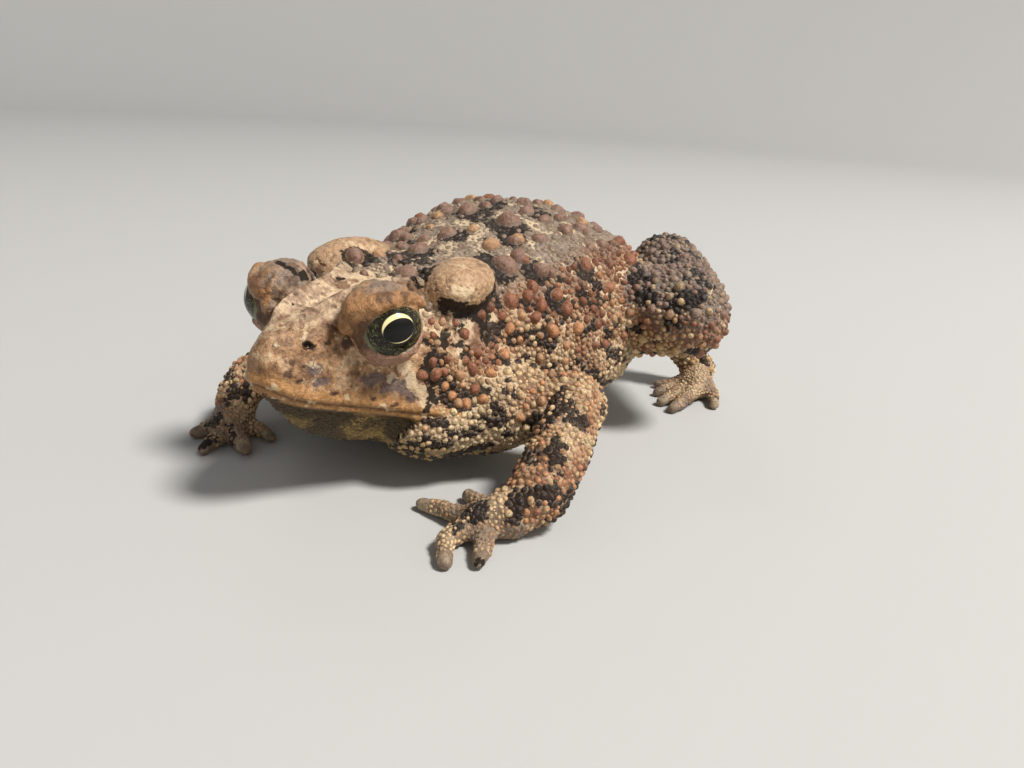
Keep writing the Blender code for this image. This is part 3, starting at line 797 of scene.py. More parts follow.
# Marks of other kinds, also as centre and radii.
FAR_LID_BARS = [
    ((-7.0, 11.8, 29.9), (1.3, 0.55, 1.0)), ((-5.6, 12.2, 29.4), (1.2, 0.5, 1.0)),
    ((-4.8, 13.6, 28.4), (0.7, 1.0, 1.0)), ((-5.2, 15.8, 27.3), (0.6, 1.2, 1.0)),
]
# Brown spots of the face; the one at (5.7, 9.5, 22.9) is painted shadow under the front of the
# upper lid's roll.
BROWN_SPOTS_AND_SHADOW = [
    ((3.2, 2.9, 21.3), (0.55, 0.6, 0.55)), ((3.2, 2.4, 19.9), (0.7, 0.7, 0.8)),
    ((4.7, 7.5, 22.8), (0.5, 0.55, 0.4)), ((5.7, 9.5, 22.9), (0.8, 1.0, 1.3)),
    ((3.9, 4.1, 20.6), (0.35, 0.4, 0.3)), ((5.2, 7.0, 20.5), (0.3, 0.4, 0.3)),
    ((8.1, 11.7, 15.2), (0.4, 0.7, 0.3)), ((6.6, 9.2, 17.2), (0.35, 0.5, 0.3)),
    ((5.6, 7.3, 16.6), (0.6, 0.9, 0.3)), ((9.5, 14.0, 14.1), (0.5, 1.0, 0.3)),
    ((9.0, 13.7, 19.2), (0.28, 0.28, 0.3)), ((3.8, 3.4, 18.8), (0.5, 0.6, 0.4)),
]
PURPLE_PATCHES = [
    ((4.8, 5.7, 18.3), (0.9, 1.1, 0.6)), ((4.4, 5.4, 20.0), (0.9, 1.2, 0.7)),
    ((8.1, 11.8, 17.8), (1.3, 1.9, 0.9)), ((9.2, 13.5, 16.8), (1.3, 2.2, 1.3)),
    ((10.2, 15.1, 16.4), (1.2, 1.9, 1.9)), ((10.7, 16.0, 14.9), (1.0, 1.4, 1.1)),
]
CREAM_PATCHES = [
    ((12.6, 31.0, 23.0), (1.3, 1.0, 1.6)), ((13.8, 31.4, 20.9), (1.3, 1.3, 2.2)),
    ((10.0, 15.6, 18.6), (0.9, 1.0, 0.9)), ((10.7, 16.2, 17.0), (0.9, 0.9, 1.2)),
    ((11.3, 17.1, 15.5), (0.9, 1.0, 1.1)), ((12.0, 18.3, 14.2), (1.0, 1.4, 0.9)),
    ((14.9, 31.5, 17.2), (1.4, 1.4, 2.4)), ((16.0, 24.3, 13.6), (1.6, 1.9, 1.3)),
    ((-1.8, 20.8, 28.3), (1.4, 2.6, 1.4)), ((2.0, 29.8, 28.9), (1.3, 2.2, 1.4)),
    ((1.9, 35.7, 30.4), (1.4, 1.8, 1.4)), ((7.8, 36.0, 29.6), (1.5, 1.0, 1.2)),
    ((13.2, 23.4, 19.9), (0.9, 1.0, 2.6)), ((12.2, 25.8, 22.8), (0.8, 1.4, 0.9)),
]


def patch_field(points, patches, mirror=True):
    """How far inside the nearest patch each point is: above 0 inside, 1 at its middle."""
    best = np.full(len(points), -1.0)
    for centre, radii in patches:
        for side in (1, -1) if mirror else (1,):
            spot = (points - on_side(centre, side)) / radii
            best = np.maximum(best, 1.0 - np.sqrt((spot * spot).sum(1)))
    return best


def wart_patches():
    """Black patches beside the large warts."""
    return [
        (np.array(centre) + np.array((*toward, 0.0)) * radius, (radius * 1.80, radius * 1.65, 2.4))
        for centre, radius, _, toward in LARGE_WARTS if toward is not None
    ]


# Colour of the skin

def dorsal_angle(points):
    """Degrees above the level of the widest line, from the body's middle."""
    return np.degrees(np.arctan2(points[:, 2] - WIDEST_LINE, np.abs(points[:, 0]) + 1e-3))


def dark_bands(points):
    """Above 0 in the dark bands of the limbs."""
    return fractal(points, 2.7, 3, 44.0) - np.where(points[:, 1] > RUMP_START, 0.22, 0.03)


def face_colour(points, broad, fine):
    """Colour of the face and the lips with the throat below them, and the share of the throat."""
    y, z = points[:, 1], points[:, 2]
    mouth = mouth_gap(points)
    face = mix(SNOUT_TAN, CROWN_GREY, ramp(z + 1.5 * broad, 22.5, 26.0))
    mottle = fractal(points, 1.5, 3, 14.0)
    purple = patch_field(points, PURPLE_PATCHES) + 0.5 * fractal(points, 1.2, 3, 15.0)
    # Brown spots of the face, one of them painted shadow in front of the eye under the lid's roll.
    brown_and_shadow = patch_field(points, BROWN_SPOTS_AND_SHADOW) + 0.45 * fractal(points, 0.7, 2, 16.0)
    for value, share in (
        (FACE_PALE, ramp(mottle, 0.10, 0.55) * (0.45 + 0.40 * ramp(z, 21.0, 25.0))),
        (FACE_BROWN, ramp(-mottle, 0.05, 0.45) * 0.85),
        (SPOT_BROWN, ramp(fractal(points, 0.6, 2, 18.0), 0.44, 0.68) * 0.65),
        (LIP_ORANGE, (1.0 - ramp(mouth + 1.0 * fine, 0.7, 2.6)) * 0.9),
        (BLOTCH_PURPLE, ramp(purple, 0.0, 0.3) * 0.9), (SPOT_BROWN, ramp(brown_and_shadow, 0.0, 0.35) * 0.9),
        (LIP_ORANGE * 0.82, ramp(-mouth, 0.0, 0.25)),
        (SPOT_BROWN, bump(mouth, -0.02, 0.16) * 0.75),
    ):
        face = mix(face, value, share)
    throat = mix(THROAT_DARK, THROAT_YELLOW, ramp(fractal(points, 3.0, 3, 13.0), 0.05, 0.6) * 0.7)
    below = ramp(-mouth, 0.55, 1.1) * (1.0 - ramp(y + 2.0 * fine, 20.0, 27.0))
    return mix(face, throat, below), below


def lid_colour(colour, points, part, fine):
    """Lays the colours of the lids, their roll and their rim over the skin's, with painted shade in
    the lids' dips and in the eye's front corner.
    """
    out, u, v, radius = lid_place(points)
    top = mix(LID_TAN, LID_GREY, ramp(fine + 0.3, -0.3, 0.5))
    roll = mix(LID_ORANGE, LID_TAN, ramp(fractal(points, 1.5, 2, 17.0), 0.0, 0.6) * 0.8)
    lid = mix(roll, top, ramp(out + 0.25 * fine, 1.50, 1.80))
    # Painted shade: the lids darken to brown in the dips of their relief.
    crease_shade = ramp(-fractal(points, 1.7, 2, 3.0), 0.10, 0.5)
    colour = paint(colour, any_of(part, EYELIDS), mix(lid, SPOT_BROWN, crease_shade * 0.65))
    near = (radius < 5.8) & (part != ROLL) & (part != TRUNK) & (v < 3.2)
    lower = near * (1.0 - ramp(out, 1.5, 1.75)) * (1.0 - ramp(v, 0.3, 1.2))
    # Painted shadow: the eye's front corner, under the front of the roll, goes dark brown.
    corner = near * (1.0 - ramp(out, 1.18, 1.38)) * ramp(-u, 1.6, 2.6) * ramp(v, -1.8, -0.6)
    rim = near * (1.0 - ramp(out, 1.03, 1.09)) * (radius < 5.05)
    for value, share in ((LOWER_LID, lower), (FACE_BROWN * 0.45, corner * 0.85),
                         (LID_GREEN, rim * 0.85)):
        colour = mix(colour, value, share)
    return colour, near & (out < 1.6)


def ground_colour(points, part, broad, fine, face):
    """Colour of the skin before its black and cream marks."""
    y, z = points[:, 1], points[:, 2]
    angle = dorsal_angle(points)
    pad = mix(PAD_TAN, PAD_CREAM, ramp(28.6 - z + 2.0 * broad, 0.0, 2.5) * 0.8)
    pad = mix(pad, PAD_DARK, ramp(noise(points, 0.62, 6.0), 0.25, 0.6) * 0.6)
    pad = mix(pad, PAD_DARK, ramp(y + 0.8 * fine, 31.0, 33.5) * 0.7)

    back = mix(BACK_GREY, BACK_BROWN, ramp(fine + broad, -0.1, 0.8))
    flank = mix(FLANK_BROWN, FLANK_PALE, ramp(fine, -0.2, 0.5))
    back = mix(back, flank, ramp(FLANK_TOP - angle + 8 * broad, 0.0, 16.0))
    back = mix(back, FLANK_PALE, ramp(14.0 - angle + 10 * broad, 0.0, 20.0) * 0.6)
    # Painted shade: the underside is a darkened copy of the belly cream, darkest at the chest under
    # the head.
    belly = mix(BELLY_CREAM * 0.8, BELLY_CREAM * 0.45, ramp(FRONT_END - y, 0.0, 8.0))
    trunk = mix(back, belly, ramp(-angle, 14.0, 34.0))
    arm = mix(FLANK_BROWN, FLANK_PALE, ramp(fine, -0.3, 0.4))
    leg = mix(flank, LEG_GREY, ramp(z + 2.0 * broad, 17.0, 24.0))
    hand = mix(PAD_PINK, BACK_CREAM, ramp(fine, -0.1, 0.6) * 0.5)

    colour = trunk
    for value, numbers in ((face, HEAD), (pad, PAROTOID_PAD), (arm, (ARM, FOREARM)),
                           (leg, (THIGH_PART, SHANK_PART)), (hand, TIPS)):
        colour = paint(colour, any_of(part, numbers), value)
    return mix(colour, trunk, (part == HEAD) * ramp(y, 21.0, 25.0))


def black_marks(points, part, fine, on_face, on_limb, near_eye):
    """Above 0 in the black marks."""
    y, z = points[:, 1], points[:, 2]
    angle = dorsal_angle(points)
    front = ramp(FRONT_END - y, 0.0, 8.0)
    black = fractal(points, 3.4, 3, 21.0) - 0.62
    streaks = fractal(points * (1.0, 1.0, 1.5), 2.6, 3, 22.0) - 0.28
    # More black streaks low on the chest: partly the skin's own black marks, partly painted shade
    # under the head.
    streaks = streaks + 0.34 * front * ramp(14.0 - angle, 0.0, 14.0)
    fade = mix_plain(ramp(angle, -40.0, -15.0), ramp(angle, -80.0, -55.0), front)
    black = mix_plain(black, streaks, ramp(46.0 - angle, 0.0, 10.0) * fade)
    bands = dark_bands(points)
    black = np.where(on_limb, bands, black)
    black = np.where(any_of(part, TIPS), bands - 0.48, black)
    cheek = ramp(y + 1.5 * fine, 16.5, 19.0) * (z < 26.0)
    black = np.where(on_face, mix_plain(NO_MARK, black + 0.05, cheek), black)
    black = np.where(any_of(part, (LID, ROLL, PAROTOID_PAD)), NO_MARK, black)
    black = np.maximum(black, patch_field(points, BLACK_PATCHES) + 0.30 * fine)
    beside = patch_field(points, wart_patches(), False) + 0.15 + 0.25 * fine
    black = np.maximum(black, beside)
    black = np.where(near_eye | (part == ROLL), NO_MARK, black)
    far_bar = patch_field(points, FAR_LID_BARS, False) + 0.2 * fine
    black = np.maximum(black, np.where(part == LID, far_bar, NO_MARK))
    return np.maximum(black, 0.90 - mirrored_gap(points, NOSTRIL, NOSTRIL_SHAPE))


def cream_marks(points, part, fine, on_face, on_limb, plain):
    """Above 0 in the cream marks, of which the plain points have none."""
    y, z = points[:, 1], points[:, 2]
    cream = fractal(points, 2.4, 4, 31.0) - 0.27 + 0.14 * ramp(46.0 - y, 0.0, 14.0)
    cream = np.where(on_face, fractal(points, 1.3, 4, 32.0) - 0.42, cream)
    cream = np.maximum(cream, patch_field(points, CREAM_PATCHES) + 0.35 * fine)
    stripe = bump(np.abs(points[:, 0] - 0.2), 0.0, 1.0) * ramp(y, 8.0, 14.0)
    stripe *= 1.0 - ramp(y, 24.0, 32.0)
    cream = np.maximum(cream, stripe * (z > 20) - 0.62 + 0.6 * fractal(points, 2.2, 3, 33.0))
    cream = np.where(any_of(part, EYELIDS + TIPS) | plain, NO_MARK, cream)
    return cream - 0.2 * on_limb - 0.3 * (part == PAROTOID_PAD)


def skin_colour(points, part):
    """Colour, black field and cream field of the skin at each point."""
    broad, fine = fractal(points, 6.0, 3, 11.0), fractal(points, 1.6, 3, 12.0)
    face, below = face_colour(points, broad, fine)
    colour = ground_colour(points, part, broad, fine, face)
    colour, near_eye = lid_colour(colour, points, part, fine)
    on_face = (part == HEAD) & (points[:, 1] < FACE_END)
    on_limb = any_of(part, (ARM, FOREARM, THIGH_PART, SHANK_PART))
    black = black_marks(points, part, fine, on_face, on_limb, near_eye)
    cream = cream_marks(points, part, fine, on_face, on_limb, (below > 0.5) | near_eye)
    return colour, np.clip(black, -1, 1), np.clip(cream, -1, 1)


# Materials

class Material:
    """A material with one Principled shader, and short ways to add nodes to it."""

    def __init__(self, name, roughness):
        self.data = bpy.data.materials.new(name)
        self.data.use_nodes = True
        self.nodes, self.links = self.data.node_tree.nodes, self.data.node_tree.links
        self.shader = self.nodes["Principled BSDF"]
        self.set_shader({"Roughness": roughness})

    def put(self, socket, value):
        """Links an output to the socket, or sets a plain value on it."""
        if isinstance(value, bpy.types.NodeSocket):
            self.links.new(value, socket)
        else:
            socket.default_value = value

    def set_shader(self, inputs):
        """Links or sets inputs of the Principled shader."""
        for name, value in inputs.items():
            self.put(self.shader.inputs[name], value)

    def add(self, kind, output, inputs, **settings):
        """Adds a node with its inputs, and gives one of its outputs."""
        node = self.nodes.new("ShaderNode" + kind)
        for name, value in settings.items():
            setattr(node, name, value)
        for name, value in inputs.items():
            self.put(node.inputs[name], value)
        return node.outputs[output]

    def attribute(self, name, output):
        return self.add("Attribute", output, {}, attribute_name=name)

    def noise(self, where, scale, detail=3.0, distortion=0.0):
        return self.add("TexNoise", "Fac", {
            "Vector": where, "Scale": scale, "Detail": detail, "Distortion": distortion})

    def range(self, value, from_low, from_high, to_low, to_high):
        return self.add("MapRange", "Result", {
            "Value": value, "From Min": from_low, "From Max": from_high,
            "To Min": to_low, "To Max": to_high}, clamp=True)

    def math(self, operation, first, second=0.0):
        return self.add("Math", "Value", {0: first, 1: second}, operation=operation)

    def mix(self, factor, first, second, blend="MIX"):
        """Mixes two colours, each an output or a plain triple."""
        node = self.nodes.new("ShaderNodeMix")
        node.data_type, node.blend_type = "RGBA", blend
        self.put(node.inputs["Factor"], factor)
        sockets = [s for s in node.inputs if s.type == "RGBA"]
        for socket, value in zip(sockets, (first, second)):
            self.put(socket, (*value, 1.0) if isinstance(value, tuple) else value)
        return next(s for s in node.outputs if s.type == "RGBA")

    def ragged(self, name, where, scale, distortion, tear, span):
        """A mark of the mesh, mapped from a span of its field whose edge noise tears."""
        edge = self.range(self.noise(where, scale, 6.0, distortion), 0.25, 0.75, -tear, tear)
        return self.range(self.math("ADD", self.attribute(name, "Fac"), edge), *span)


BLACK = (0.016, 0.013, 0.012)
PUPIL, IRIS_DARK, IRIS_FLECK = (0.002, 0.002, 0.002), (0.009, 0.008, 0.005), (0.22, 0.20, 0.07)
IRIS_GOLD, EYE_RIM = (0.74, 0.63, 0.33), (0.16, 0.17, 0.10)


def skin_material():
    """Mottled skin with painted shade in the hollows of its fine bumps, moist between its marks and
    dull on the black ones.
    """
    skin = Material("toad_skin", 0.5)
    where = skin.add("TexCoord", "Object", {})
    fine = skin.noise(where, 1900.0, 5.0, 0.4)
    grain = skin.noise(where, 6200.0)
    # Painted shade: the noises that raise the fine bumps also darken the colour in their hollows
    # and lighten it on their tops, over random tone.
    shade = skin.math("MULTIPLY", skin.range(fine, 0.3, 0.7, 0.62, 1.28),
                      skin.range(grain, 0.3, 0.7, 0.80, 1.18))
    tone_and_hollow_shade = skin.add("CombineColor", "Color", dict.fromkeys(("Red", "Green", "Blue"), shade))
    colour = skin.mix(1.0, skin.attribute("tint", "Color"), tone_and_hollow_shade, "MULTIPLY")
    cream = skin.ragged("cream", where, 1250.0, 0.6, 0.38, (-0.05, 0.22, 0.0, 0.72))
    colour = skin.mix(cream, colour, tuple(CREAM * 0.92))
    black = skin.ragged("black", where, 1500.0, 0.8, 0.32, (-0.03, 0.07, 0.0, 0.95))
    colour = skin.mix(black, colour, BLACK)

    cells = skin.add("TexVoronoi", "Distance", {"Vector": where, "Scale": 3600.0})
    height = skin.math("ADD", skin.math("MULTIPLY", cells, -0.5), fine)
    height = skin.math("ADD", height, skin.math("MULTIPLY", grain, 0.5))
    normal = skin.add("Bump", "Normal", {"Strength": 0.70, "Distance": 0.00018, "Height": height})
    skin.set_shader({
        "Base Color": colour, "Normal": normal,
        "Roughness": skin.range(fine, 0.3, 0.7, 0.36, 0.56),
        "Specular IOR Level": skin.range(black, 0.0, 0.95, 0.26, 0.03),
        "Subsurface Weight": 0.04, "Subsurface Radius": (0.0012, 0.0005, 0.0003),
        "Subsurface Scale": 1.0,
    })
    return skin.data


def eye_material():
    """A dark iris with flecks, a level oval pupil and gold above and below it."""
    eye = Material("toad_eye", 0.25)
    spot = eye.attribute("gaze", "Vector")
    turned = eye.add("VectorRotate", "Vector", {"Angle": math.radians(-17.0), "Vector": spot},
                     rotation_type="Z_AXIS")
    split = eye.nodes.new("ShaderNodeSeparateXYZ")
    eye.put(split.inputs["Vector"], turned)
    x, y = split.outputs["X"], split.outputs["Y"]

    def length(across, upward):
        squares = [eye.math("MULTIPLY", v, v) for v in (across, upward)]
        return eye.math("SQRT", eye.math("ADD", *squares))

    def oval(half_width, half_height, drop):
        return length(eye.math("DIVIDE", x, half_width),
                      eye.math("DIVIDE", eye.math("ADD", y, drop), half_height))

    rim = length(x, y)
    flecks = eye.math("MULTIPLY",
                      eye.range(eye.noise(spot, 13.0, 6.0, 1.2), 0.52, 0.66, 0.0, 0.85),
                      eye.range(rim, 0.46, 0.66, 0.08, 1.0))
    inner, outer = oval(0.46, 0.315, 0.02), oval(0.475, 0.41, -0.035)
    gold = eye.math("MULTIPLY", eye.range(inner, 0.98, 1.03, 0.0, 1.0),
                    eye.range(outer, 1.0, 0.95, 0.0, 1.0))
    colour = IRIS_DARK
    for share, value in (
        (flecks, IRIS_FLECK), (gold, IRIS_GOLD),
        (eye.range(inner, 1.03, 0.98, 0.0, 1.0), PUPIL),
        (eye.range(rim, 0.82, 0.86, 0.0, 1.0), EYE_RIM),
    ):
        colour = eye.mix(share, colour, value)
    eye.set_shader({"Base Color": colour, "Coat Weight": 0.35, "Coat Roughness": 0.03,
                    "Specular IOR Level": 0.10})
    return eye.data


# Warts

class Room:
    """Keeps warts from growing into each other."""

    CELL = 1.0
    MOST = 1.0

    def __init__(self):
        self.cells = {}

    def add(self, point, radius):
        """Enters a wart in every cell where a later one could touch it."""
        reach = radius + self.MOST
        low = [math.floor((c - reach) / self.CELL) for c in point]
        high = [math.floor((c + reach) / self.CELL) for c in point]
        entry = (point[0], point[1], point[2], radius)
        for i in range(low[0], high[0] + 1):
            for j in range(low[1], high[1] + 1):
                for k in range(low[2], high[2] + 1):
                    self.cells.setdefault((i, j, k), []).append(entry)

    def free(self, point, radius, gap):
        """Whether a wart here stays gap times the sum of radii from all the others."""
        key = tuple(math.floor(c / self.CELL) for c in point)
        x, y, z = point
        for a, b, c, r in self.cells.get(key, ()):
            least = (r + radius) * gap
            if (x - a) ** 2 + (y - b) ** 2 + (z - c) ** 2 < least * least:
                return False
        return True


def scatter(room, points, radii, gaps):
    """The candidates that find room, in their order."""
    kept = []
    for index, (point, radius, gap) in enumerate(
        zip(points.tolist(), radii.tolist(), gaps.tolist())
    ):
        if room.free(point, radius, gap):
            room.add(point, radius)
            kept.append(index)
    return np.array(kept, int)


def candidates(points, faces, count, rng):
    """Random points on the skin, even by area."""
    corners = points[faces]
    cross = np.cross(corners[:, 2] - corners[:, 0], corners[:, 3] - corners[:, 1])
    area = np.linalg.norm(cross, axis=1)
    chosen = rng.choice(len(faces), count, p=area / area.sum())
    u, v = rng.random((2, count, 1))
    a, b, c, d = (corners[chosen, i] for i in range(4))
    return (a * (1 - u) + b * u) * (1 - v) + (d * (1 - u) + c * u) * v


DIGIT_TIPS = np.array([chain[-1][0] for chain in DIGITS_L + DIGITS_R + TOES]
                      + [on_side(chain[-1][0], -1) for chain in TOES])


def wartiness(points, part):
    """How densely granules grow, from 0 to 1, and their usual radius."""
    y, z = points[:, 1], points[:, 2]
    angle = dorsal_angle(points)
    mouth = mouth_gap(points)
    side_face = ramp(y, 18.5, 21.5) * (z < 25)
    throat = ramp(-mouth, 1.6, 2.6)
    on_nape = ramp(y, 21.0, 26.0) * (z >= 25) * 0.6
    dense = np.where(part == HEAD, np.maximum(np.maximum(side_face, throat), on_nape), 1.0)
    dense = np.where((part == TRUNK) & (angle > 46), 0.22, dense)
    dense = np.where((part == HEAD) & (z > 25.5), dense * 0.4, dense)
    dense = np.where(any_of(part, (LID, ROLL, PAROTOID_PAD)), 0.0, dense)
    drum = mirrored_gap(points, TYMPANUM, TYMPANUM_SHAPE)
    dense = np.where(drum < 2.2, 0.0, dense)
    calm = mirrored_gap(points, CALM[0], CALM[1])
    dense = dense * ramp(calm, 0.75, 1.1)
    tip = np.full(len(points), 1e9)
    for place in DIGIT_TIPS:
        tip = np.minimum(tip, np.linalg.norm(points - place, axis=1))
    dense = dense * ramp(tip, 1.2, 2.4)
    dense = np.where(z < 0.7 + FLOOR_SINK, 0.0, dense)

    grain = np.full(len(points), 0.44)
    for chosen, usual in (
        ((part == HEAD) & (y < 20), 0.30), ((part == TRUNK) & (angle > BACK_START), 0.40),
        ((part == TRUNK) & (angle < 14), 0.41), ((part == TRUNK) & (angle < -12), 0.38),
        (part == ARM, 0.46), (part == FOREARM, 0.43), (any_of(part, TIPS), 0.29),
        (any_of(part, (THIGH_PART, SHANK_PART)), 0.45),
    ):
        grain = np.where(chosen, usual, grain)
    return dense, grain


def choose(rng, count, colours, weights):
    """One of the colours for each of count warts."""
    weights = np.array(weights, float)
    picks = rng.choice(len(colours), count, p=weights / weights.sum())
    return np.array(colours)[picks]


def blend_row(value, stops):
    """Colour along a row of (value, colour) stops."""
    value = np.asarray(value)
    known = [stop for stop, _ in stops]
    table = np.array([colour for _, colour in stops])
    return np.stack([np.interp(value, known, table[:, i]) for i in range(3)], axis=1)


def wart_colour(points, part, radius, rng):
    """Colour of each wart by where it grows, and of the skin round it."""
    count = len(points)
    y, z = points[:, 1], points[:, 2]
    angle = dorsal_angle(points)
    tint, black, _ = skin_colour(points, part)
    own = rng.normal(0.0, 0.16, count)
    shade = rng.random(count)
    heat = fractal(points, 3.8, 3, 43.0) + own
    on_arm = any_of(part, (ARM, FOREARM))
    on_leg = any_of(part, (THIGH_PART, SHANK_PART))
    on_foot = any_of(part, TIPS)

    warm = heat + 1.0 * (ramp(angle, -8.0, 40.0) - 0.5) + 0.40 * (radius > 0.52) - 0.05
    warm = warm - 0.08 * (radius < 0.5)
    flank = blend_row(warm, ((-0.75, BELLY_CREAM), (-0.35, BEAD_CREAM), (-0.05, TAN),
                             (0.20, ORANGE), (0.45, RED_BROWN), (0.9, RED_BROWN * 0.8)))
    back = blend_row(heat, ((-0.7, BACK_CREAM), (-0.2, BACK_GREY), (0.2, BACK_BROWN),
                            (0.6, MAUVE)))
    back = mix(back, tint, np.where(radius < 0.6, 0.6, 0.0))
    flank = mix(flank, tint, np.where(radius < 0.5, 0.35, 0.0))
    colour = mix(flank, back, ramp(angle + 6 * own, 40.0, 48.0))
    belly = mix(BELLY_CREAM * 0.95, YELLOW * 0.9, ramp(FRONT_END - y, 0.0, 8.0))
    arm = blend_row(heat + 0.6 * own - 0.12 - 0.2 * (part == FOREARM),
                    ((-0.5, BEAD_CREAM), (-0.15, TAN), (0.2, ORANGE), (0.5, RED_BROWN),
                     (0.8, DARK_BEAD)))
    leg = blend_row(heat + 0.6 * own + 0.6 * (ramp(z, 12.0, 21.0) - 0.6),
                    ((-0.6, YELLOW), (-0.2, BEAD_CREAM), (0.1, TAN), (0.4, RED_BROWN)))
    leg = mix(leg, mix(GREY_BEAD, MAUVE, 0.5 * shade), ramp(z + 12.0 * own, 20.0, 24.0) * 0.75)
    hand = blend_row(heat, ((-0.4, BEAD_CREAM), (0.1, TAN), (0.6, GREY_BEAD)))
    throat = (part == HEAD) & (mouth_gap(points) < -1) & (y < 23)
    for chosen, value in ((angle < -24, belly), (on_arm, arm), (on_leg, leg), (on_foot, hand),
                          (throat, tint * 1.25)):
        colour = paint(colour, chosen, value)

    likely = np.where(on_arm | on_leg | on_foot, 0.85, np.where(radius > 0.4, 0.62, 0.92))
    dark = (black + 0.5 * own > 0.04) & (shade < likely) & (radius < 0.7)
    colour = paint(colour, dark, DARK_BEAD * (0.6 + 0.9 * shade[:, None]))
    return colour * (1.0 + 0.8 * own[:, None]), tint


# Shapes of the domes: sides, and the radius and rise of each ring as shares of the wart's own.
SMALL = (7, (1.08, 0.86, 0.52), (-0.22, 0.36, 0.86))
MEDIUM = (9, (1.10, 0.93, 0.70, 0.38), (-0.22, 0.22, 0.62, 0.93))
BIG = (26, (1.22, 1.08, 0.98, 0.86, 0.70, 0.50, 0.28, 0.12),
       (-0.10, 0.06, 0.24, 0.48, 0.72, 0.90, 0.98, 1.0))
MOST_IN_A_PIECE = {SMALL: 5200, MEDIUM: 2900}
PATCH_RADIUS = 0.0013


def add_piece(name, mesh, material):
    """An object of the model, which rides on the body."""
    mesh.materials.append(material)
    obj = bpy.data.objects.new(name, mesh)
    bpy.context.scene.collection.objects.link(obj)
    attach(obj, "root")
    return obj


def chart_place(points, part):
    """Place of each point on an unwrap of the skin: every part is rolled out round its own axis."""
    side = points[:, 0] > 0
    place = np.zeros((len(points), 2))
    body = any_of(part, (TRUNK, *HEAD_PARTS))
    turn = np.arctan2(points[:, 0], points[:, 2] - 14.0) / (2 * math.pi) + 0.5
    place[body] = np.stack((0.01 + 0.58 * points[body, 1] / 87.0,
                            0.01 + 0.98 * turn[body]), axis=1)
    cells = [(number, flank) for number in (ARM, FOREARM, HAND, THIGH_PART, SHANK_PART, FOOT)
             for flank in (True, False)]
    for index, (number, flank) in enumerate(cells):
        chosen = (part == number) & (side == flank)
        if chosen.sum() < 4:
            continue
        own = points[chosen] - points[chosen].mean(0)
        axes = np.linalg.svd(own, full_matrices=False)[2]
        along = own @ axes[0]
        along = (along - along.min()) / max(np.ptp(along), 1e-6)
        turn = np.arctan2(own @ axes[1], own @ axes[2]) / (2 * math.pi) + 0.5
        left, low = 0.61 + 0.195 * (index % 2), 0.165 * (index // 2) + 0.01
        place[chosen] = np.stack((left + 0.18 * along, low + 0.145 * turn), axis=1)
    return place


def dome_points(roots, radius, height, shape, rng):
    """Points of every dome, ring by ring from its sunk rim, and last its crown."""
    sides, rings, rises = shape
    count = len(roots)
    normal = unit(slope_at(roots))
    helper = np.where(np.abs(normal[:, 2:3]) > 0.8, (1.0, 0.0, 0.0), (0.0, 0.0, 1.0))
    first = unit(np.cross(normal, helper))
    second = np.cross(normal, first)
    spin = rng.random(count) * 2 * math.pi
    angles = spin[:, None] + np.arange(sides) * 2 * math.pi / sides
    wobble = 1 + 0.09 * np.sin(2 * angles + spin[:, None] * 3) + 0.05 * np.sin(
        3 * angles + spin[:, None] * 7)
    stretch = 1 + 0.16 * (rng.random(count) - 0.5)
    flat = (np.cos(angles)[..., None] * first[:, None] * stretch[:, None, None]
            + np.sin(angles)[..., None] * second[:, None] / stretch[:, None, None])
    flat = flat * (radius[:, None] * wobble)[..., None]
    spots = roots[:, None, None] + flat[:, None] * np.array(rings)[None, :, None, None]
    base = on_skin(spots.reshape(-1, 3))[0].reshape(spots.shape)
    rise = np.array(rises)[None, :, None] * height[:, None, None]
    points = base + normal[:, None, None] * rise[..., None]
    crown = on_skin(roots)[0] + normal * height[:, None] * 1.02
    points = np.concatenate((points.reshape(count, -1, 3), crown[:, None]), axis=1)
    if shape is BIG:
        lumps = 0.05 * fractal(points.reshape(-1, 3), 0.8, 2, 51.0).reshape(count, -1, 1)
        points = points + normal[:, None] * lumps
    return points


def dome_faces(shape, count):
    """Triangles of every dome."""
    sides, rings, _ = shape
    crown = len(rings) * sides
    one = np.concatenate((*ring_faces(len(rings), sides), fan_faces(len(rings) - 1, sides, crown)))
    return (one[None] + (np.arange(count) * (crown + 1))[:, None, None]).reshape(-1, 3)


def add_bake_map(mesh, roots, part, shape, faces):
    """Gives each wart a small patch at its root's place on the unwrap of the skin."""
    sides, rings, _ = shape
    rim = np.append(np.repeat(rings, sides), 0.0) * PATCH_RADIUS
    swing = np.append(np.tile(np.arange(sides) * 2 * math.pi / sides, len(rings)), 0.0)
    patch = np.stack((np.cos(swing) * rim, np.sin(swing) * rim), axis=1)
    uv = np.clip(chart_place(roots, part)[:, None] + patch[None], 0.001, 0.999).reshape(-1, 2)
    layer = mesh.uv_layers.new(name="OFBake")
    layer.uv.foreach_set("vector", uv[faces.ravel()].astype(np.float32).ravel())


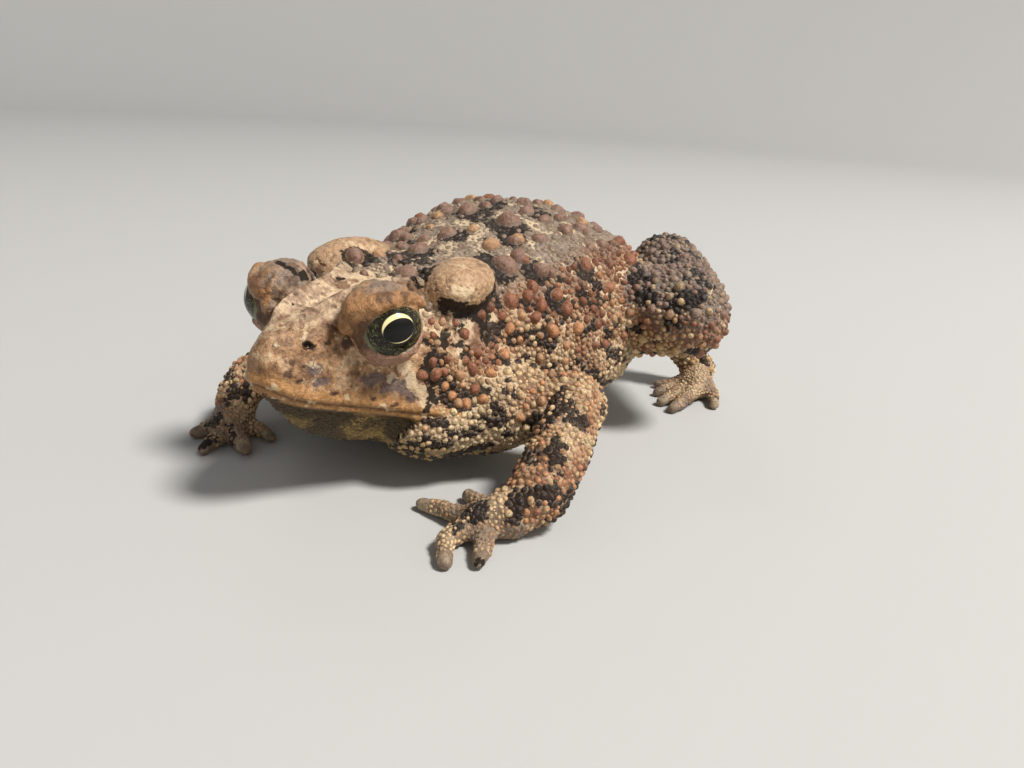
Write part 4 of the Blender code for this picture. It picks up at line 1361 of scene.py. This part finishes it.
def grow(name, roots, part, radius, height, colour, base_colour, shape, rng, material):
    """One joined mesh of warts, each a dome whose rim is sunk in the skin and darkened by painted
    shade.
    """
    sides, rings, rises = shape
    count, per = len(roots), len(rings) * sides + 1
    points, faces = dome_points(roots, radius, height, shape, rng), dome_faces(shape, count)
    mesh = mesh_from(points.reshape(-1, 3), faces)
    # Painted shade: each wart's rim takes the skin's colour darkened to 0.7, fading to the wart's
    # own colour up its side.
    share = np.append(np.repeat(ramp(np.array(rises), -0.1, 0.55), sides), 1.0)
    tone_and_rim_shade = mix(np.repeat(base_colour[:, None], per, 1) * 0.70,
               np.repeat(colour[:, None], per, 1), np.tile(share, (count, 1)))
    tipped = (rng.random(count) < 0.6) & (radius > 0.40) & (radius < 0.9)
    tone_and_rim_shade[tipped, -1] = tone_and_rim_shade[tipped, -1] * 0.25 + TIP_BROWN * 0.75
    set_attribute(mesh, "tint", tone_and_rim_shade.reshape(-1, 3), "FLOAT_COLOR")
    for mark in ("black", "cream"):
        set_attribute(mesh, mark, np.full(count * per, -1.0))
    add_bake_map(mesh, roots, part, shape, faces)
    add_piece(name, mesh, material)


# Pieces of the coat: name, slot, parts, and from and to which dorsal angle or on which side.
ALL_ROUND = (-180.0, 180.0)
GROUPS = (
    ("head", "head", HEAD_PARTS, ALL_ROUND, 0), ("back", "trunk", TRUNK, (35.0, 180.0), 0),
    ("flanks", "trunk", TRUNK, (-10.0, 35.0), 0), ("belly", "trunk", TRUNK, (-180.0, -10.0), 0),
    ("arm_l", "forearm_l", ARM_PARTS, ALL_ROUND, 1),
    ("arm_r", "forearm_r", ARM_PARTS, ALL_ROUND, -1),
    ("leg_l", "thigh_l", LEG_PARTS, ALL_ROUND, 1), ("leg_r", "thigh_r", LEG_PARTS, ALL_ROUND, -1),
)
# Random places tried for each kind of wart.
TRIES = {"large": 5000, "tubercles": 14000, "medium": 90000, "small": 170000}


def named_warts(rng):
    """Places, radii and colours of the photograph's large warts, those of the flank mirrored."""
    places, radii, colours = (np.array([wart[i] for wart in LARGE_WARTS]) for i in range(3))
    mirrored = np.abs(places[:, 0]) > 9.0
    shifted = on_side(places[mirrored], -1) + rng.normal(0, 0.9, (mirrored.sum(), 3))
    radii = np.append(radii, radii[mirrored] * rng.uniform(0.85, 1.1, mirrored.sum()))
    places = settle(np.concatenate((places, shifted)), 6)
    return places, radii, np.concatenate((colours, colours[mirrored]))


def grow_large(points, faces, room, rng, material):
    """The large warts: the named ones, and others on the rump, the far side and the legs."""
    places, radii, colours = named_warts(rng)
    for place, radius in zip(places.tolist(), radii.tolist()):
        room.add(place, radius)
    found = settle(candidates(points, faces, TRIES["large"], rng), 1)
    part = owner_at(found)
    fits = (part == TRUNK) & (dorsal_angle(found) > 18) & (
        (found[:, 1] > 52) | (found[:, 0] < -3))
    fits |= any_of(part, (THIGH_PART, SHANK_PART)) & (found[:, 2] > 14)
    found, part = found[fits], part[fits]
    size = rng.uniform(0.85, 1.3, len(found)) * np.where(part == TRUNK, 1.0, 0.68)
    kept = scatter(room, found, size, np.full(len(found), 1.9))
    roots, radius = np.concatenate((places, found[kept])), np.append(radii, size[kept])
    part = owner_at(roots)
    colour, base = wart_colour(roots, part, radius, rng)
    colour[:len(colours)] = colours
    choice = choose(rng, len(kept), (MAUVE, RED_BROWN, TAN), (3, 2, 1))
    others = colour[len(colours):]
    others[:] = paint(others, dorsal_angle(found[kept]) > 40, choice)
    grow("warts_large", roots, part, radius, 0.78 * radius ** 0.9, colour, base, BIG, rng,
         material)


def grow_tubercles(points, faces, room, rng, material):
    """Tubercles of the flanks, the cheeks, the shoulders and the legs."""
    found = settle(candidates(points, faces, TRIES["tubercles"], rng), 1)
    part, angle = owner_at(found), dorsal_angle(found)
    dense, _ = wartiness(found, part)
    fits = (part == TRUNK) & (angle > 4) & (angle < FLANK_TOP)
    fits |= any_of(part, (ARM, THIGH_PART, SHANK_PART))
    fits |= (part == HEAD) & (found[:, 1] > 20) & (dense > 0)
    fits &= rng.random(len(found)) < 0.8
    found, part = found[fits], part[fits]
    size = rng.uniform(0.52, 0.80, len(found))
    kept = scatter(room, found, size, np.full(len(found), 1.28))
    grow_groups("tubercles", found[kept], part[kept], size[kept], 0.86, MEDIUM, rng, material)


def grow_granules(points, faces, room, rng, material, kind, sizes, gap, tallness, shape):
    """Granules packed side by side, of sizes in shares of the usual; on the back the medium ones
    are fewer."""
    found = settle(candidates(points, faces, TRIES[kind], rng), 1)
    part = owner_at(found)
    dense, grain = wartiness(found, part)
    size = grain * rng.uniform(*sizes, len(found))
    fits = rng.random(len(found)) < dense
    dorsal = (part == TRUNK) & (dorsal_angle(found) > BACK_START) & (shape is MEDIUM)
    if shape is MEDIUM:
        fits &= ~dorsal | (rng.random(len(found)) < 0.6)
    found, size, part, dorsal = found[fits], size[fits], part[fits], dorsal[fits]
    kept = scatter(room, found, size, np.where(dorsal, 1.1, gap))
    grow_groups(kind, found[kept], part[kept], size[kept], tallness, shape, rng, material)


def all_warts(points, faces, material):
    """Every wart, from the largest to the finest, each in the room that is left."""
    rng = np.random.default_rng(SEED)
    surroundings = (points, faces, Room(), rng, material)
    grow_large(*surroundings)
    grow_tubercles(*surroundings)
    grow_granules(*surroundings, "medium", (0.92, 1.22), gap=0.92, tallness=0.74, shape=MEDIUM)
    grow_granules(*surroundings, "small", (0.50, 0.80), gap=0.90, tallness=0.60, shape=SMALL)


def grow_groups(kind, roots, part, radius, tallness, shape, rng, material):
    """Grows warts of one kind, in pieces by region and, where they are many, along the body."""
    colour, base = wart_colour(roots, part, radius, rng)
    dorsal = dorsal_angle(roots)
    low = any_of(part, TIPS) | (dorsal < -20) | ((part == TRUNK) & (dorsal > BACK_START))
    flat = np.where(low | ((part == HEAD) & (roots[:, 1] < 20)), 0.65, 1.0)
    height = tallness * radius * flat * rng.uniform(0.85, 1.15, len(roots))
    for name, slot, numbers, (least, most), side in GROUPS:
        within = any_of(part, numbers) & (dorsal > least) & (dorsal <= most)
        chosen = np.flatnonzero(within & ((side == 0) | ((roots[:, 0] > 0) == (side == 1))))
        if len(chosen) < 4:
            continue
        chosen = chosen[np.argsort(roots[chosen, 1], kind="stable")]
        pieces = np.array_split(chosen, math.ceil(len(chosen) / MOST_IN_A_PIECE[shape]))
        for number, piece in enumerate(pieces):
            tail = f"_{number + 1}" if len(pieces) > 1 else ""
            grow(f"granules_{kind}_{name}{tail}", roots[piece], part[piece], radius[piece],
                 height[piece], colour[piece], base[piece], shape, rng, material)


# Eyes

def add_eye(side, material):
    """A moist eyeball with a slightly domed cornea, painted round its gaze."""
    centre, across, up, out = eye_axes(side)
    rows, columns = 56, 96
    polar = np.linspace(0.0, math.radians(112.0), rows)[1:]
    round_angle = np.arange(columns) * 2 * math.pi / columns
    local = np.stack((
        np.sin(polar)[:, None] * np.cos(round_angle),
        np.sin(polar)[:, None] * np.sin(round_angle),
        np.repeat(np.cos(polar)[:, None], columns, axis=1),
    ), axis=-1).reshape(-1, 3)
    local = np.concatenate((local, [(0.0, 0.0, 1.0), (0.0, 0.0, math.cos(polar[-1]))]))
    dome = 1.0 + 0.055 * ramp(local[:, 2], 0.66, 1.0)
    dome[-1] = 1.0
    points = centre + (local * (dome * EYE_RADIUS)[:, None]) @ np.stack((across, up, out))
    top, bottom = len(local) - 2, len(local) - 1
    faces = np.concatenate((*ring_faces(rows - 1, columns), fan_faces(rows - 2, columns, bottom),
                            fan_faces(0, columns, top)[:, ::-1]))
    mesh = mesh_from(points, faces[:, ::-1])
    set_attribute(mesh, "gaze", on_side(local, side), "FLOAT_VECTOR")
    name = "eye_l" if side == 1 else "eye_r"
    obj = add_piece("eyeball" + name[-2:], mesh, material)
    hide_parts(name)


# Skin object

def add_skin(material):
    """The skin, and the plain mesh that the warts are strewn over."""
    points, faces = surface_net(FIELD)
    points = even_out(points, faces, 4)
    mesh = mesh_from(points, faces)
    refine_top(mesh)
    fine, _, part = on_skin(points_of(mesh))
    mesh.vertices.foreach_set("co", to_frame(fine).astype(np.float32).ravel())
    mesh.update()
    mesh.shade_smooth()
    colour, black, cream = skin_colour(points_of(mesh), part)
    set_attribute(mesh, "tint", colour, "FLOAT_COLOR")
    set_attribute(mesh, "black", black)
    set_attribute(mesh, "cream", cream)
    obj = add_piece("skin", mesh, material)
    flesh = sorted(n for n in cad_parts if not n.startswith("eye"))
    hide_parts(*flesh)
    return points, faces


# Stage

CAMERA_PLACE = (69.768, -63.130, 53.424)
CAMERA_YAW, CAMERA_PITCH, CAMERA_ROLL = -0.51251, 0.35380, 0.06645
FOCAL_PIXELS, PICTURE_WIDTH = 824.73, 1024


def add_camera():
    """The camera, fitted to the photograph."""
    yaw, pitch, roll = CAMERA_YAW, CAMERA_PITCH, CAMERA_ROLL
    ahead = Vector((math.sin(yaw) * math.cos(pitch), math.cos(yaw) * math.cos(pitch),
                    -math.sin(pitch)))
    level = Vector((math.cos(yaw), -math.sin(yaw), 0.0))
    upward = level.cross(ahead)
    right = math.cos(roll) * level + math.sin(roll) * upward
    above = -math.sin(roll) * level + math.cos(roll) * upward
    place = Matrix((right, above, -ahead)).transposed().to_4x4()
    x, y, z = CAMERA_PLACE
    place.translation = Vector((x + FRAME_X, y + FRAME_Y, z)) * MM
    lens = bpy.data.cameras.new("camera")
    lens.sensor_width = 36.0
    lens.lens = FOCAL_PIXELS / PICTURE_WIDTH * 36.0
    lens.clip_start, lens.clip_end = 0.001, 10.0
    camera = bpy.data.objects.new("camera", lens)
    camera.matrix_world = place
    bpy.context.scene.collection.objects.link(camera)
    bpy.context.scene.camera = camera


def add_floor():
    """A pale floor that curves up all round into a low wall, so that no horizon shows."""
    profile = [(0.0, 0.0), (0.2, 0.0), (0.5, 0.0), (0.8, 0.0)]
    profile += [(0.8 + 0.4 * math.sin(a), 0.4 - 0.4 * math.cos(a))
                for a in np.linspace(0.1, math.pi / 2, 12)]
    profile.append((1.2, 1.0))
    sides = 96
    turn = np.arange(sides) * 2 * math.pi / sides
    points = np.array([(r * math.cos(t), r * math.sin(t), z) for r, z in profile[1:] for t in turn]
                      + [(0.0, 0.0, 0.0)])
    here = np.arange(sides)
    after = (here + 1) % sides
    mesh = bpy.data.meshes.new("floor")
    rings = []
    for row in range(len(profile) - 2):
        a, b = row * sides, (row + 1) * sides
        rings += np.stack((a + here, b + here, b + after, a + after), 1).tolist()
    rings += np.stack((np.full(sides, len(points) - 1), here, after), 1).tolist()
    mesh.from_pydata(points.tolist(), [], rings)
    mesh.shade_smooth()
    pale = Material("floor", 0.75)
    pale.set_shader({"Base Color": (0.42, 0.416, 0.408, 1.0)})
    mesh.materials.append(pale.data)
    floor = bpy.data.objects.new("floor", mesh)
    bpy.context.scene.collection.objects.link(floor)


# Lights: name, place in metres, size, power and colour.
LIGHTS = (
    ("key", (0.82, 0.05, 1.26), 0.34, 35.0, (1.0, 0.98, 0.94)),
    ("fill", (0.15, -1.35, 0.75), 0.90, 1.6, (0.95, 0.98, 1.0)),
    ("back", (-1.00, 0.85, 1.10), 0.70, 3.0, (1.0, 0.99, 0.97)),
)


def add_lights():
    """Soft studio lights and a dim white world."""
    for name, place, size, power, colour in LIGHTS:
        light = bpy.data.lights.new(name, "AREA")
        light.shape = "DISK"
        light.size, light.energy, light.color = size, power, colour
        obj = bpy.data.objects.new(name, light)
        obj.location = place
        obj.rotation_mode = "QUATERNION"
        obj.rotation_quaternion = (-Vector(place)).to_track_quat("-Z", "Y")
        bpy.context.scene.collection.objects.link(obj)
    world = bpy.data.worlds.new("world")
    world.use_nodes = True
    background = world.node_tree.nodes["Background"]
    background.inputs["Color"].default_value = (0.95, 0.97, 1.0, 1.0)
    background.inputs["Strength"].default_value = 0.22
    bpy.context.scene.world = world
    bpy.context.scene.view_settings.view_transform = "Standard"


def main():
    skin = skin_material()
    points, faces = add_skin(skin)
    all_warts(points, faces, skin)
    eye = eye_material()
    for side in (1, -1):
        add_eye(side, eye)
    add_floor()
    add_lights()
    add_camera()


main()
